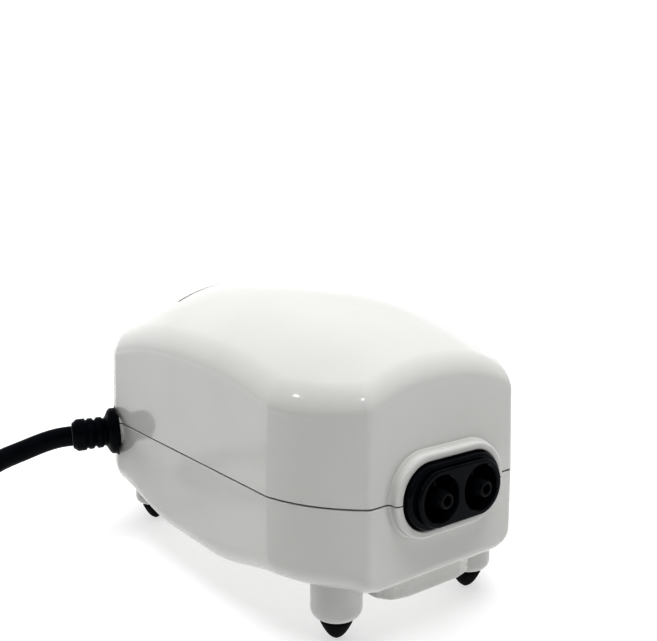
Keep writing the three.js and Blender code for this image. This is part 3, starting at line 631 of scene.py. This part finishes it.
def outlet_moulding():
    piece = slot_block("outlet_moulding", *STOP, [(0, FRONT + 6), (0, FRONT + 3)])
    flange = rounded([(0, FRONT + 4, 0), (0, FRONT - 4, 0.8), (4, FRONT - 4, 0)], 6)
    plate = rounded(
        [(3, FRONT - 4.4, 0), (0, FRONT - 4.4, 0.25), (0, FRONT + PLATE_FRONT, 0.45), (3, FRONT + PLATE_FRONT, 0)], 5
    )
    join(
        piece,
        slot_block("flange", *FLANGE, flange),
        slot_block("neck", *NECK, [(0, FRONT), (0, FRONT - 5)]),
        slot_block("plate", *FACE_PLATE, plate),
    )
    for side in (-1, 1):
        cut(piece, recess(side), rod(2.5, -8, 8, Y_AXIS, (side * NOZZLE_X, FRONT, OUTLET_Z)))
    return smooth(piece, 30, even=True)


def air_nozzle(name, side):
    tip = -NOZZLE_REACH
    bore = 1.25
    profile = rounded(
        [(bore, tip, 0.12), (1.95, tip, 0.25), (2.65, tip + 3.4, 0.2), (2.65, tip + 3.9, 0.12), (2.0, tip + 4.2, 0.1),
         (2.0, 2.1, 0), (2.2, 2.4, 0), (2.2, 6.3, 0), (1.9, 6.6, 0), (1.9, 11, 0.2), (bore, 11, 0.1)],
        3, closed=True,
    )
    return smooth(turned(name, profile, Y_AXIS, (side * NOZZLE_X, FRONT, OUTLET_Z), 64), 35)


# ---- Gland, lead, tie and plug --------------------------------------------------------------------------
def ribbed_gland():
    corners = [
        (3.4, -11, 0), (4.0, -11, 0.3), (4.3, -4.2, 0), (4.3, -SHOULDER_DEPTH, 0),
        (SHOULDER_RADIUS, -SHOULDER_DEPTH, 0.1), (SHOULDER_RADIUS, 0, 0),
        (7.2, 0, 0.3), (7.2, 1.8, 0.5), (6.5, 2.5, 0.5),
        (4.7, 3.4, 0.5), (4.15, 4.0, 0.4), (4.85, 4.6, 0.45), (4.85, 6.1, 0.45), (4.15, 6.6, 0.35), (4.15, 6.9, 0.35),
        (4.85, 7.4, 0.45), (4.85, 8.7, 0.45), (4.2, 9.2, 0.4), (5.0, 9.7, 0.4), (5.0, 12.1, 0.6), (3.9, 13.5, 0.3),
        (3.2, 13.6, 0.1), (3.2, 10, 0),
    ]
    return smooth(turned("ribbed_gland", rounded(corners, 4, closed=True), GLAND_AXIS, GLAND_SEAT, 72), 40)


CORD_ROUTE = [
    (-51.2, 47.7, -3.8), (-54.8, 49.0, -4.1), (-59.2, 49.7, -4.9), (-66, 49.5, -6.4), (-72.9, 48.0, -7.6),
    (-79.5, 45.2, -9.4), (-85.5, 41.0, -12.0), (-90.8, 35.8, -15.2), (-96.0, 30.7, -18.8), (-101.6, 26.6, -22.8),
    (-107.6, 23.8, -27.3), (-113, 22.4, -31.2),
]
TAIL_ROUTE = [
    (-101.3, 33.8, -26.0), (-105.8, 31.6, -23.4), (-111.2, 29.4, -21.2), (-117.4, 28.0, -20.2),
    (-124.2, 28.2, -19.7), (-131.2, 30.6, -18.9), (-137.0, 34.8, -18.1), (-140.9, 40.2, -17.4),
    (-142.4, 45.4, -16.9), (-142.5, 48.6, -16.9), (-142.5, 50.6, -16.9),
]
COIL_CENTRE = (-117.5, 66)
COIL_OUTER = 44
COIL_INNER = 24.8
TURN_PITCH = 6.4  # from one turn to the next, across and up
FLOOR_LAYER = GROUND + CORD_RADIUS
PLUG_AT = Vector((-142.5, 48.6, -16.9))


def coil_point(turns):
    """The lead's centre after that many clockwise turns: three on the floor, inward, then back out on top."""
    angle = -math.pi / 2 - 2 * math.pi * turns
    if turns < 3:
        radius = COIL_OUTER - TURN_PITCH * turns
    else:
        radius = COIL_INNER + TURN_PITCH * max(0, turns - 3.25)
    z = FLOOR_LAYER + TURN_PITCH * smoothstep(turns, 2.98, 3.27) + 0.6 * smoothstep(turns, 4.8, 4.9)
    near_tie = math.exp(-((math.remainder(angle, 2 * math.pi) / 0.35) ** 2))
    x, y = COIL_CENTRE
    return (x + radius * math.cos(angle), y + radius * math.sin(angle), z + TIE_THICKNESS * near_tie)


def through(points, spacing):
    """Points about `spacing` apart along a smooth curve through the given ones."""
    line = [Vector(p) for p in points]
    ends = [line[0] * 2 - line[1], *line, line[-1] * 2 - line[-2]]
    curve = []
    for a, b, c, d in zip(ends, ends[1:], ends[2:], ends[3:]):
        count = max(1, round((c - b).length / spacing))
        for k in range(count):
            t = k / count
            bend = (a * 2 - b * 5 + c * 4 - d) * t * t + (b * 3 - a - c * 3 + d) * t**3
            curve.append((b * 2 + (c - a) * t + bend) / 2)
    return [*curve, line[-1]]


def power_cord():
    start = GLAND_SEAT + GLAND_AXIS * 11
    last_turn = 4.9
    per_turn = 36
    coil = [coil_point(k / per_turn) for k in range(int(last_turn * per_turn) + 1)]
    points = [tuple(start), *CORD_ROUTE, *coil, *TAIL_ROUTE]
    line = [Vector((p.x, p.y, max(p.z, FLOOR_LAYER))) for p in through(points, 2.5)]
    data = bpy.data.curves.new("power_cord", "CURVE")
    data.dimensions = "3D"
    data.bevel_depth = CORD_RADIUS / 1000
    data.bevel_resolution = 7
    data.use_fill_caps = True
    spline = data.splines.new("POLY")
    spline.points.add(len(line) - 1)
    for point, place in zip(spline.points, line):
        point.co = (*row(place), 1)
    spline.use_smooth = True
    return link("power_cord", data)


TIE_THICKNESS = 0.5


def cord_tie():
    """A flat nylon tie round the coil's turns on its right, with its head on top."""
    x, y = COIL_CENTRE
    reach = CORD_RADIUS + 0.1
    left, right = x + 26.4 - reach, x + 39.2 + reach
    low = GROUND + TIE_THICKNESS
    high = low + TURN_PITCH + 2 * CORD_RADIUS + 0.2
    half_width = 2.0
    corners = [
        (left, low, reach), (right, low, reach), (right - 0.4, high - 5, 3), (right - 3.5, high, 3),
        (left + 0.6, high, 3),
    ]
    inner = rounded(corners, 6, closed=True)
    middle = sum(inner, Vector((0, 0))) / len(inner)
    grown = [p + (p - middle).normalized() * TIE_THICKNESS for p in inner]
    outer = [Vector((p.x, max(GROUND, p.y))) for p in grown]
    edges = ((inner, -1), (inner, 1), (outer, 1), (outer, -1))
    rings = [[(p.x, y + side * half_width, p.y) for p in path] for path, side in edges]
    tie = hoop("cord_tie", rings)
    head_x = left + 8
    head = block((head_x - 2.6, y - 2.8, high - 0.1), (head_x + 2.6, y + 2.8, high + 1.0))
    tail = block((head_x - 8, y - 1.9, high + 0.2), (head_x, y + 1.9, high + 0.8))
    return smooth(join(tie, head, tail), 30)


def plug_section(y, half_width, half_height, squareness, count=72):
    ring = []
    for k in range(count):
        angle = 2 * math.pi * k / count
        c, s = math.cos(angle), math.sin(angle)
        x = half_width * math.copysign(abs(c) ** (2 / squareness), c)
        z = half_height * math.copysign(abs(s) ** (2 / squareness), s)
        ring.append((PLUG_AT.x + x, PLUG_AT.y + y, PLUG_AT.z + z))
    return ring


def mains_plug():
    """A flat two-pin plug: a grooved round strain relief that widens into a waisted body with grip bars."""
    sections = [(0, 3.5, 3.5, 2)]
    for k in range(5):
        y = 2.5 + 3 * k
        outer = 3.9 + 0.1 * y
        groove = outer - 0.9
        sections += [(y, outer, outer, 2), (y + 0.15, groove, groove, 2), (y + 1.05, groove, groove, 2)]
        sections += [(y + 1.2, outer + 0.1, outer + 0.1, 2)]
    sections += [
        (17.5, 5.6, 5.5, 2.1), (19.5, 6.8, 5.7, 2.3), (22, 10.5, 6.0, 2.8), (24.5, 14.0, 6.3, 3.2), (27.5, 16.3, 6.5, 3.5),
        (31, 17.3, 6.6, 3.8), (35, 17.5, 6.6, 3.9), (40, 17.0, 6.6, 3.9), (46, 16.0, 6.6, 3.9), (51, 15.5, 6.5, 3.9),
        (53, 15.1, 6.2, 3.9), (53.8, 14.5, 5.7, 3.8), (54, 13.8, 5.1, 3.7),
    ]
    plug = loft("mains_plug", [plug_section(*section) for section in sections])
    for k in range(4):
        y = PLUG_AT.y + 29 + 3.4 * k
        for side in (-1, 1):
            z = PLUG_AT.z + side * 6.4
            bar = block((PLUG_AT.x - 7, y, z - 0.28), (PLUG_AT.x + 7, y + 1.4, z + 0.28))
            join(plug, bar)
    for side in (-1, 1):
        cut(plug, rod(2.25, 46, 60, Y_AXIS, PLUG_AT + X_AXIS * (side * 8.8)))
    return smooth(plug, 32)


def contact_pin(name, side):
    """A round pin with a dark insulating sleeve along its first half."""
    profile = rounded(
        [(0, 46.4, 0), (1.95, 46.4, 0), (1.95, 63.8, 0.15), (1.75, 63.9, 0), (1.75, 64.1, 0), (2.0, 64.2, 0.1),
         (2.0, 71.8, 0.8), (1.1, 72.6, 0.4), (0, 72.6, 0)],
        4,
    )
    pin = smooth(turned(name, profile, Y_AXIS, PLUG_AT + X_AXIS * (side * 8.8), 48), 40)
    edge = row(PLUG_AT + Y_AXIS * 64).y
    pin.data.materials.append(MATERIALS["pin_metal"])
    pin.data.materials.append(MATERIALS["plug_plastic"])
    for face in pin.data.polygons:
        face.material_index = int(face.center.y < edge)
    return pin


# ---- Windings -------------------------------------------------------------------------------------------
def coil_winding(name, side):
    """Enamelled wire wound side by side round the bobbin: each turn stands out as a ridge."""
    first, last, inner, outer = 5.75, 14.05, 1.5, 5.2
    turns = 13
    steps = turns * 6

    def ring(x, margin):
        half_y = 4.5 + margin
        half_z = 9 + margin
        signs = ((-1, -1), (1, -1), (1, 1), (-1, 1))
        corners = [(half_y * sign_y, half_z * sign_z, margin) for sign_y, sign_z in signs]
        return [(side * x, CORE_Y + p.x, PUMP_Z + p.y) for p in rounded(corners, 6, closed=True)]

    rings = [ring(first, inner), ring(last, inner)]
    for k in range(steps + 1):
        share = 1 - k / steps
        ridge = 0.22 * abs(math.sin(math.pi * turns * share))
        rings.append(ring(first + (last - first) * share, outer - 0.22 + ridge))
    return smooth(hoop(name, rings), 50)


# ---- Materials ------------------------------------------------------------------------------------------
class Finish:
    """A procedural material: one Principled shader fed by noise in the piece's own coordinates, in metres."""

    def __init__(self, name, colour, roughness, **sockets):
        self.name = name
        self.material = bpy.data.materials.new(name)
        self.material.use_nodes = True
        self.nodes = self.material.node_tree.nodes
        self.links = self.material.node_tree.links
        self.shader = self.nodes["Principled BSDF"]
        self.colour = (*colour, 1)
        self.shader.inputs["Base Color"].default_value = self.colour
        self.shader.inputs["Roughness"].default_value = roughness
        self.roughness = roughness
        for socket, value in sockets.items():
            self.shader.inputs[socket.replace("_", " ")].default_value = value
        self.place = self.nodes.new("ShaderNodeTexCoord").outputs["Object"]
        self.normal = None

    def stretched(self, stretch):
        mapping = self.nodes.new("ShaderNodeMapping")
        mapping.inputs["Scale"].default_value = stretch
        self.links.new(self.place, mapping.inputs["Vector"])
        return mapping.outputs["Vector"]

    def noise(self, size, detail=3, stretch=(1, 1, 1)):
        """Noise whose features are about `size` millimetres across."""
        node = self.nodes.new("ShaderNodeTexNoise")
        node.inputs["Scale"].default_value = 1000 / size
        node.inputs["Detail"].default_value = detail
        self.links.new(self.stretched(stretch), node.inputs["Vector"])
        return node.outputs["Fac"]

    def bands(self, size, axis, distortion=0):
        """Parallel bands across an axis, `size` millimetres apart."""
        node = self.nodes.new("ShaderNodeTexWave")
        node.bands_direction = axis
        node.inputs["Scale"].default_value = 1000 / size / 20 * 2 * math.pi
        node.inputs["Distortion"].default_value = distortion
        self.links.new(self.place, node.inputs["Vector"])
        return node.outputs["Fac"]

    def cells(self, size):
        """The distance to the nearest of points about `size` millimetres apart."""
        node = self.nodes.new("ShaderNodeTexVoronoi")
        node.inputs["Scale"].default_value = 1000 / size
        self.links.new(self.place, node.inputs["Vector"])
        return node.outputs["Distance"]

    def mapped(self, source, low, high, start=0.3, stop=0.7):
        node = self.nodes.new("ShaderNodeMapRange")
        for socket, value in zip(("From Min", "From Max", "To Min", "To Max"), (start, stop, low, high)):
            node.inputs[socket].default_value = value
        self.links.new(source, node.inputs["Value"])
        return node.outputs["Result"]

    def tint(self, source, colour, start=0.3, stop=0.7):
        """Mixes the base colour towards `colour` where the source is high."""
        node = self.nodes.new("ShaderNodeMix")
        node.data_type = "RGBA"
        node.inputs[6].default_value = self.colour
        node.inputs[7].default_value = (*colour, 1)
        self.links.new(self.mapped(source, 0, 1, start, stop), node.inputs[0])
        self.links.new(node.outputs[2], self.shader.inputs["Base Color"])
        return self

    def gloss(self, source, spread, start=0.3, stop=0.7):
        """Varies the roughness by `spread` either way."""
        result = self.mapped(source, self.roughness - spread, self.roughness + spread, start, stop)
        self.links.new(result, self.shader.inputs["Roughness"])
        return self

    def bump(self, source, depth, strength=1.0):
        """Adds relief `depth` millimetres deep; each call lies over the last."""
        node = self.nodes.new("ShaderNodeBump")
        node.inputs["Distance"].default_value = depth / 1000
        node.inputs["Strength"].default_value = strength
        self.links.new(source, node.inputs["Height"])
        if self.normal:
            self.links.new(self.normal, node.inputs["Normal"])
        self.normal = node.outputs["Normal"]
        self.links.new(self.normal, self.shader.inputs["Normal"])
        return self


def make_materials():
    finishes = {}

    def add(finish):
        finishes[finish.name] = finish.material

    white = Finish("case_plastic", (0.66, 0.66, 0.647), 0.1, Specular_IOR_Level=0.5)
    white.tint(white.noise(26, 4), (0.64, 0.64, 0.625)).gloss(white.noise(9, 4), 0.025)
    add(white.bump(white.noise(1.6, 2), 0.012, 0.35).bump(white.noise(14, 2), 0.03, 0.25))

    inner = Finish("plinth_plastic", (0.70, 0.70, 0.685), 0.3)
    inner.tint(inner.noise(18, 4), (0.67, 0.67, 0.65)).gloss(inner.noise(6, 4), 0.05)
    add(inner.bump(inner.noise(0.5, 3), 0.02, 0.4))

    black = Finish("outlet_plastic", (0.003, 0.0042, 0.0068), 0.1, Specular_IOR_Level=0.14)
    black.tint(black.noise(7, 4), (0.007, 0.009, 0.013)).gloss(black.noise(3, 4), 0.03)
    add(black.bump(black.noise(0.7, 3), 0.012, 0.35))

    nozzle = Finish("nozzle_plastic", (0.003, 0.004, 0.006), 0.22, Specular_IOR_Level=0.16)
    nozzle.tint(nozzle.noise(3, 4), (0.006, 0.007, 0.010)).gloss(nozzle.noise(1.5, 4), 0.06)
    add(nozzle.bump(nozzle.noise(0.4, 3), 0.01, 0.4))

    tips = Finish("tip_rubber", (0.004, 0.004, 0.005), 0.6, Specular_IOR_Level=0.1)
    tips.tint(tips.noise(2.5, 5), (0.012, 0.012, 0.012)).gloss(tips.noise(1.2, 4), 0.1)
    add(tips.bump(tips.noise(0.35, 4), 0.03, 0.5))

    gland = Finish("gland_rubber", (0.0015, 0.0025, 0.005), 0.38, Specular_IOR_Level=0.1)
    gland.tint(gland.noise(3, 5), (0.004, 0.006, 0.009)).gloss(gland.noise(1.5, 4), 0.1)
    add(gland.bump(gland.noise(0.4, 4), 0.02, 0.45))

    sheath = Finish("cord_sheath", (0.0015, 0.0028, 0.0055), 0.42, Specular_IOR_Level=0.12)
    sheath.tint(sheath.noise(5, 5), (0.004, 0.006, 0.009)).gloss(sheath.noise(2.5, 4), 0.09)
    add(sheath.bump(sheath.noise(0.45, 4), 0.025, 0.5).bump(sheath.noise(9, 2), 0.1, 0.3))

    plug = Finish("plug_plastic", (0.007, 0.007, 0.009), 0.5, Specular_IOR_Level=0.3)
    plug.tint(plug.noise(4, 5), (0.013, 0.013, 0.015)).gloss(plug.noise(2, 4), 0.08)
    add(plug.bump(plug.noise(0.3, 3), 0.03, 0.6))

    pin = Finish("pin_metal", (0.72, 0.70, 0.66), 0.24, Metallic=1.0)
    pin.tint(pin.noise(3, 5), (0.64, 0.62, 0.57)).gloss(pin.noise(1.2, 5, (1, 0.08, 1)), 0.08)
    add(pin.bump(pin.noise(0.25, 3, (1, 0.05, 1)), 0.006, 0.5))

    grey = Finish("frame_plastic", (0.33, 0.34, 0.34), 0.48)
    grey.tint(grey.noise(8, 4), (0.29, 0.30, 0.30)).gloss(grey.noise(4, 4), 0.08)
    add(grey.bump(grey.noise(0.4, 3), 0.03, 0.5))

    nylon = Finish("bobbin_nylon", (0.76, 0.71, 0.58), 0.42)
    nylon.tint(nylon.noise(6, 4), (0.70, 0.64, 0.50)).gloss(nylon.noise(3, 4), 0.08)
    add(nylon.bump(nylon.noise(0.6, 3), 0.02, 0.4))

    steel = Finish("plated_steel", (0.58, 0.58, 0.57), 0.32, Metallic=1.0)
    steel.tint(steel.noise(2.5, 5), (0.50, 0.50, 0.47)).gloss(steel.noise(1, 5), 0.1)
    add(steel.bump(steel.noise(0.3, 4), 0.008, 0.5))

    core = Finish("core_laminations", (0.30, 0.31, 0.33), 0.4, Metallic=1.0)
    core.tint(core.noise(3, 5), (0.20, 0.17, 0.15), 0.45, 0.8).gloss(core.noise(1.5, 4), 0.12)
    add(core.bump(core.bands(0.5, "Z"), 0.06, 0.7).bump(core.noise(0.3, 3), 0.01, 0.4))

    copper = Finish("winding_enamel", (0.50, 0.17, 0.055), 0.26, Metallic=1.0, Coat_Weight=0.4, Coat_Roughness=0.15)
    copper.tint(copper.noise(2.2, 4), (0.36, 0.10, 0.035)).gloss(copper.noise(1.1, 4), 0.06)
    add(copper.bump(copper.noise(0.25, 2), 0.008, 0.4))

    ferrite = Finish("magnet_ferrite", (0.07, 0.07, 0.075), 0.45, Metallic=0.4)
    ferrite.tint(ferrite.noise(1.4, 6), (0.12, 0.12, 0.125)).gloss(ferrite.noise(0.8, 5), 0.12)
    add(ferrite.bump(ferrite.cells(0.5), 0.02, 0.5))

    rubber = Finish("valve_rubber", (0.016, 0.016, 0.017), 0.6)
    rubber.tint(rubber.noise(2, 5), (0.028, 0.028, 0.028)).gloss(rubber.noise(1, 4), 0.08)
    add(rubber.bump(rubber.noise(0.3, 3), 0.02, 0.5))

    silicone = Finish("tube_silicone", (0.70, 0.72, 0.69), 0.3, Transmission_Weight=0.25, IOR=1.41)
    silicone.tint(silicone.noise(5, 3), (0.62, 0.65, 0.62)).gloss(silicone.noise(2, 3), 0.06)
    add(silicone.bump(silicone.noise(0.8, 2), 0.02, 0.4))

    felt = Finish("filter_felt", (0.77, 0.76, 0.70), 0.95, Sheen_Weight=0.4, Sheen_Roughness=0.6)
    felt.tint(felt.noise(0.9, 8, (1, 0.35, 1)), (0.62, 0.60, 0.53), 0.35, 0.75)
    add(felt.bump(felt.noise(0.35, 8, (1, 0.3, 1)), 0.25, 0.9).bump(felt.noise(3, 4), 0.3, 0.4))

    for name, colour, shade in (
        ("wire_brown", (0.17, 0.065, 0.03), (0.13, 0.045, 0.02)),
        ("wire_blue", (0.04, 0.11, 0.36), (0.03, 0.08, 0.28)),
    ):
        wire = Finish(name, colour, 0.38)
        wire.tint(wire.noise(3, 4), shade).gloss(wire.noise(1.5, 4), 0.07)
        add(wire.bump(wire.noise(0.4, 3), 0.01, 0.4))
    return finishes


MATERIALS = make_materials()

# ---- Stage and light -------------------------------------------------------------------------------------
def add_floor():
    half = 2.5
    mesh = bpy.data.meshes.new("floor")
    mesh.from_pydata([(-half, -half, 0), (half, -half, 0), (half, half, 0), (-half, half, 0)], [], [(0, 1, 2, 3)])
    floor = link("floor", mesh)
    paper = Finish("floor_paper", (0.3, 0.3, 0.3), 0.8, Emission_Color=(1, 1, 1, 1), Emission_Strength=0.7)
    paper.bump(paper.noise(1.5, 4), 0.02, 0.2)
    mesh.materials.append(paper.material)


BACKDROP = (0.612, 0.791, 0)  # the horizontal direction in which the white paper stands
OVERHEAD = Vector((-0.03, -0.07, 1))


def softbox(name, place, target, width, height, power):
    data = bpy.data.lights.new(name, "AREA")
    data.shape = "RECTANGLE"
    data.size = width
    data.size_y = height
    data.energy = power
    lamp = link(name, data)
    aim = Vector(target) - Vector(place)
    lamp.matrix_world = Matrix.Translation(place) @ aim.to_track_quat("-Z", "Y").to_matrix().to_4x4()
    return lamp


def add_light():
    """White paper behind the object, dim on the camera's side, with soft boxes above and to both sides."""
    world = bpy.data.worlds.new("studio")
    world.use_nodes = True
    nodes = world.node_tree.nodes
    links = world.node_tree.links
    direction = nodes.new("ShaderNodeTexCoord").outputs["Generated"]
    facing = nodes.new("ShaderNodeVectorMath")
    facing.operation = "DOT_PRODUCT"
    facing.inputs[1].default_value = BACKDROP
    height = nodes.new("ShaderNodeSeparateXYZ")
    links.new(direction, facing.inputs[0])
    links.new(direction, height.inputs["Vector"])
    strength = nodes.new("ShaderNodeMath")
    strength.operation = "MULTIPLY"
    fades = (
        (facing.outputs["Value"], (-0.35, 0.85, 0.03, 1.08)),
        (height.outputs["Z"], (0.22, 0.4, 1, 0.72)),
    )
    for socket, (fade_from, limits) in zip(strength.inputs, fades):
        fade = nodes.new("ShaderNodeMapRange")
        for name, value in zip(("From Min", "From Max", "To Min", "To Max"), limits):
            fade.inputs[name].default_value = value
        links.new(fade_from, fade.inputs["Value"])
        links.new(fade.outputs["Result"], socket)
    links.new(strength.outputs["Value"], nodes["Background"].inputs["Strength"])
    nodes["Background"].inputs["Color"].default_value = (1, 1, 1, 1)
    bpy.context.scene.world = world
    sky = bpy.data.lights.new("overhead", "SUN")
    sky.energy = 3.72
    sky.angle = math.radians(46)
    overhead = link("overhead", sky)
    overhead.matrix_world = OVERHEAD.to_track_quat("Z", "Y").to_matrix().to_4x4()
    overhead.visible_glossy = False
    middle = (0, 0, 0.04)
    left_rear = softbox("left_rear", (-0.55, 1.0, 0.3), middle, 0.7, 0.6, 4.5)
    left_rear.visible_glossy = False
    softbox("right_front", (0.55, -1.05, 0.3), middle, 0.6, 0.6, 1.9).visible_glossy = False
    softbox("high_left", (-0.77, 0.14, 0.66), middle, 0.045, 0.045, 0.25)
    softbox("high_front", (-0.48, -0.51, 0.75), middle, 0.045, 0.045, 0.25)
    view = bpy.context.scene.view_settings
    view.view_transform = "Standard"
    view.gamma = 0.69


# ---- Build -----------------------------------------------------------------------------------------------
def paint(piece, material):
    """One material all over, in place of whatever cuts and joins left in the slots."""
    piece.data.materials.clear()
    piece.data.materials.append(MATERIALS[material])
    if piece.type == "MESH":
        for face in piece.data.polygons:
            face.material_index = 0


def dress(piece, material, slot, *nodes, body="pump_body"):
    """Gives a piece its material and its body, and hides the CAD nodes that it stands for. The slot argument is not
    used.
    """
    if material:
        paint(piece, material)
    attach(piece, body)
    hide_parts(*nodes)
    return piece


SIDES = (("left", -1), ("right", 1))

add_camera()
cord = dress(power_cord(), "cord_sheath", "cable_black", "cord_run", "cord_coil", "cord_tail")
tie = dress(cord_tie(), "plug_plastic", "plug_black", "coil_tie")
plug = dress(mains_plug(), "plug_plastic", "plug_black", "plug_body")
pins = [dress(contact_pin(f"contact_pin_{n}", s), None, "pin_brass", f"plug_pin_{n}") for n, s in SIDES]
# The lead past the gland is a guess, so the glossy case doesn't mirror it.
for piece in (cord, tie, plug, *pins):
    piece.visible_glossy = False
gland = dress(ribbed_gland(), "gland_rubber", "rubber_black", "cable_gland")
dress(cover_shell(), "case_plastic", "case_white", "top_cover")
dress(lower_shell(), "case_plastic", "case_white", "bottom_shell")
dress(plinth_tray(), "plinth_plastic", "case_white", "base_plate")
dress(outlet_moulding(), "outlet_plastic", "outlet_black", "outlet_block")
for corner, (leg_x, leg_y) in LEGS.items():
    dress(foot_tip(f"foot_tip_{corner}", leg_x, leg_y), "tip_rubber", "rubber_black", f"foot_{corner}")
for side_name, sign in SIDES:
    dress(air_nozzle(f"air_nozzle_{side_name}", sign), "nozzle_plastic", "outlet_black", f"nozzle_{side_name}")
    dress(coil_winding(f"coil_winding_{side_name}", sign), "winding_enamel", "copper", f"winding_{side_name}")

# CAD nodes that stay as they are take a material by the first part of their name.
CAD_MATERIALS = {
    "filter_felt": "filter_felt",
    "case_screw": "plated_steel",
    "core_screw": "plated_steel",
    "pivot_pin": "plated_steel",
    "piston": "plated_steel",
    "cord_clamp": "frame_plastic",
    "swing_arm": "frame_plastic",
    "pump_chamber": "frame_plastic",
    "clamp_ring": "frame_plastic",
    "bobbin": "bobbin_nylon",
    "magnet_core": "core_laminations",
    "arm_magnet": "magnet_ferrite",
    "intake_flap": "valve_rubber",
    "outlet_flap": "valve_rubber",
    "diaphragm": "valve_rubber",
    "air_tube": "tube_silicone",
    "live_wire": "wire_brown",
    "neutral_wire": "wire_blue",
}
for node_name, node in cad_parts.items():
    for start, material in CAD_MATERIALS.items():
        if node_name.startswith(start):
            paint(node, material)

add_floor()
add_light()
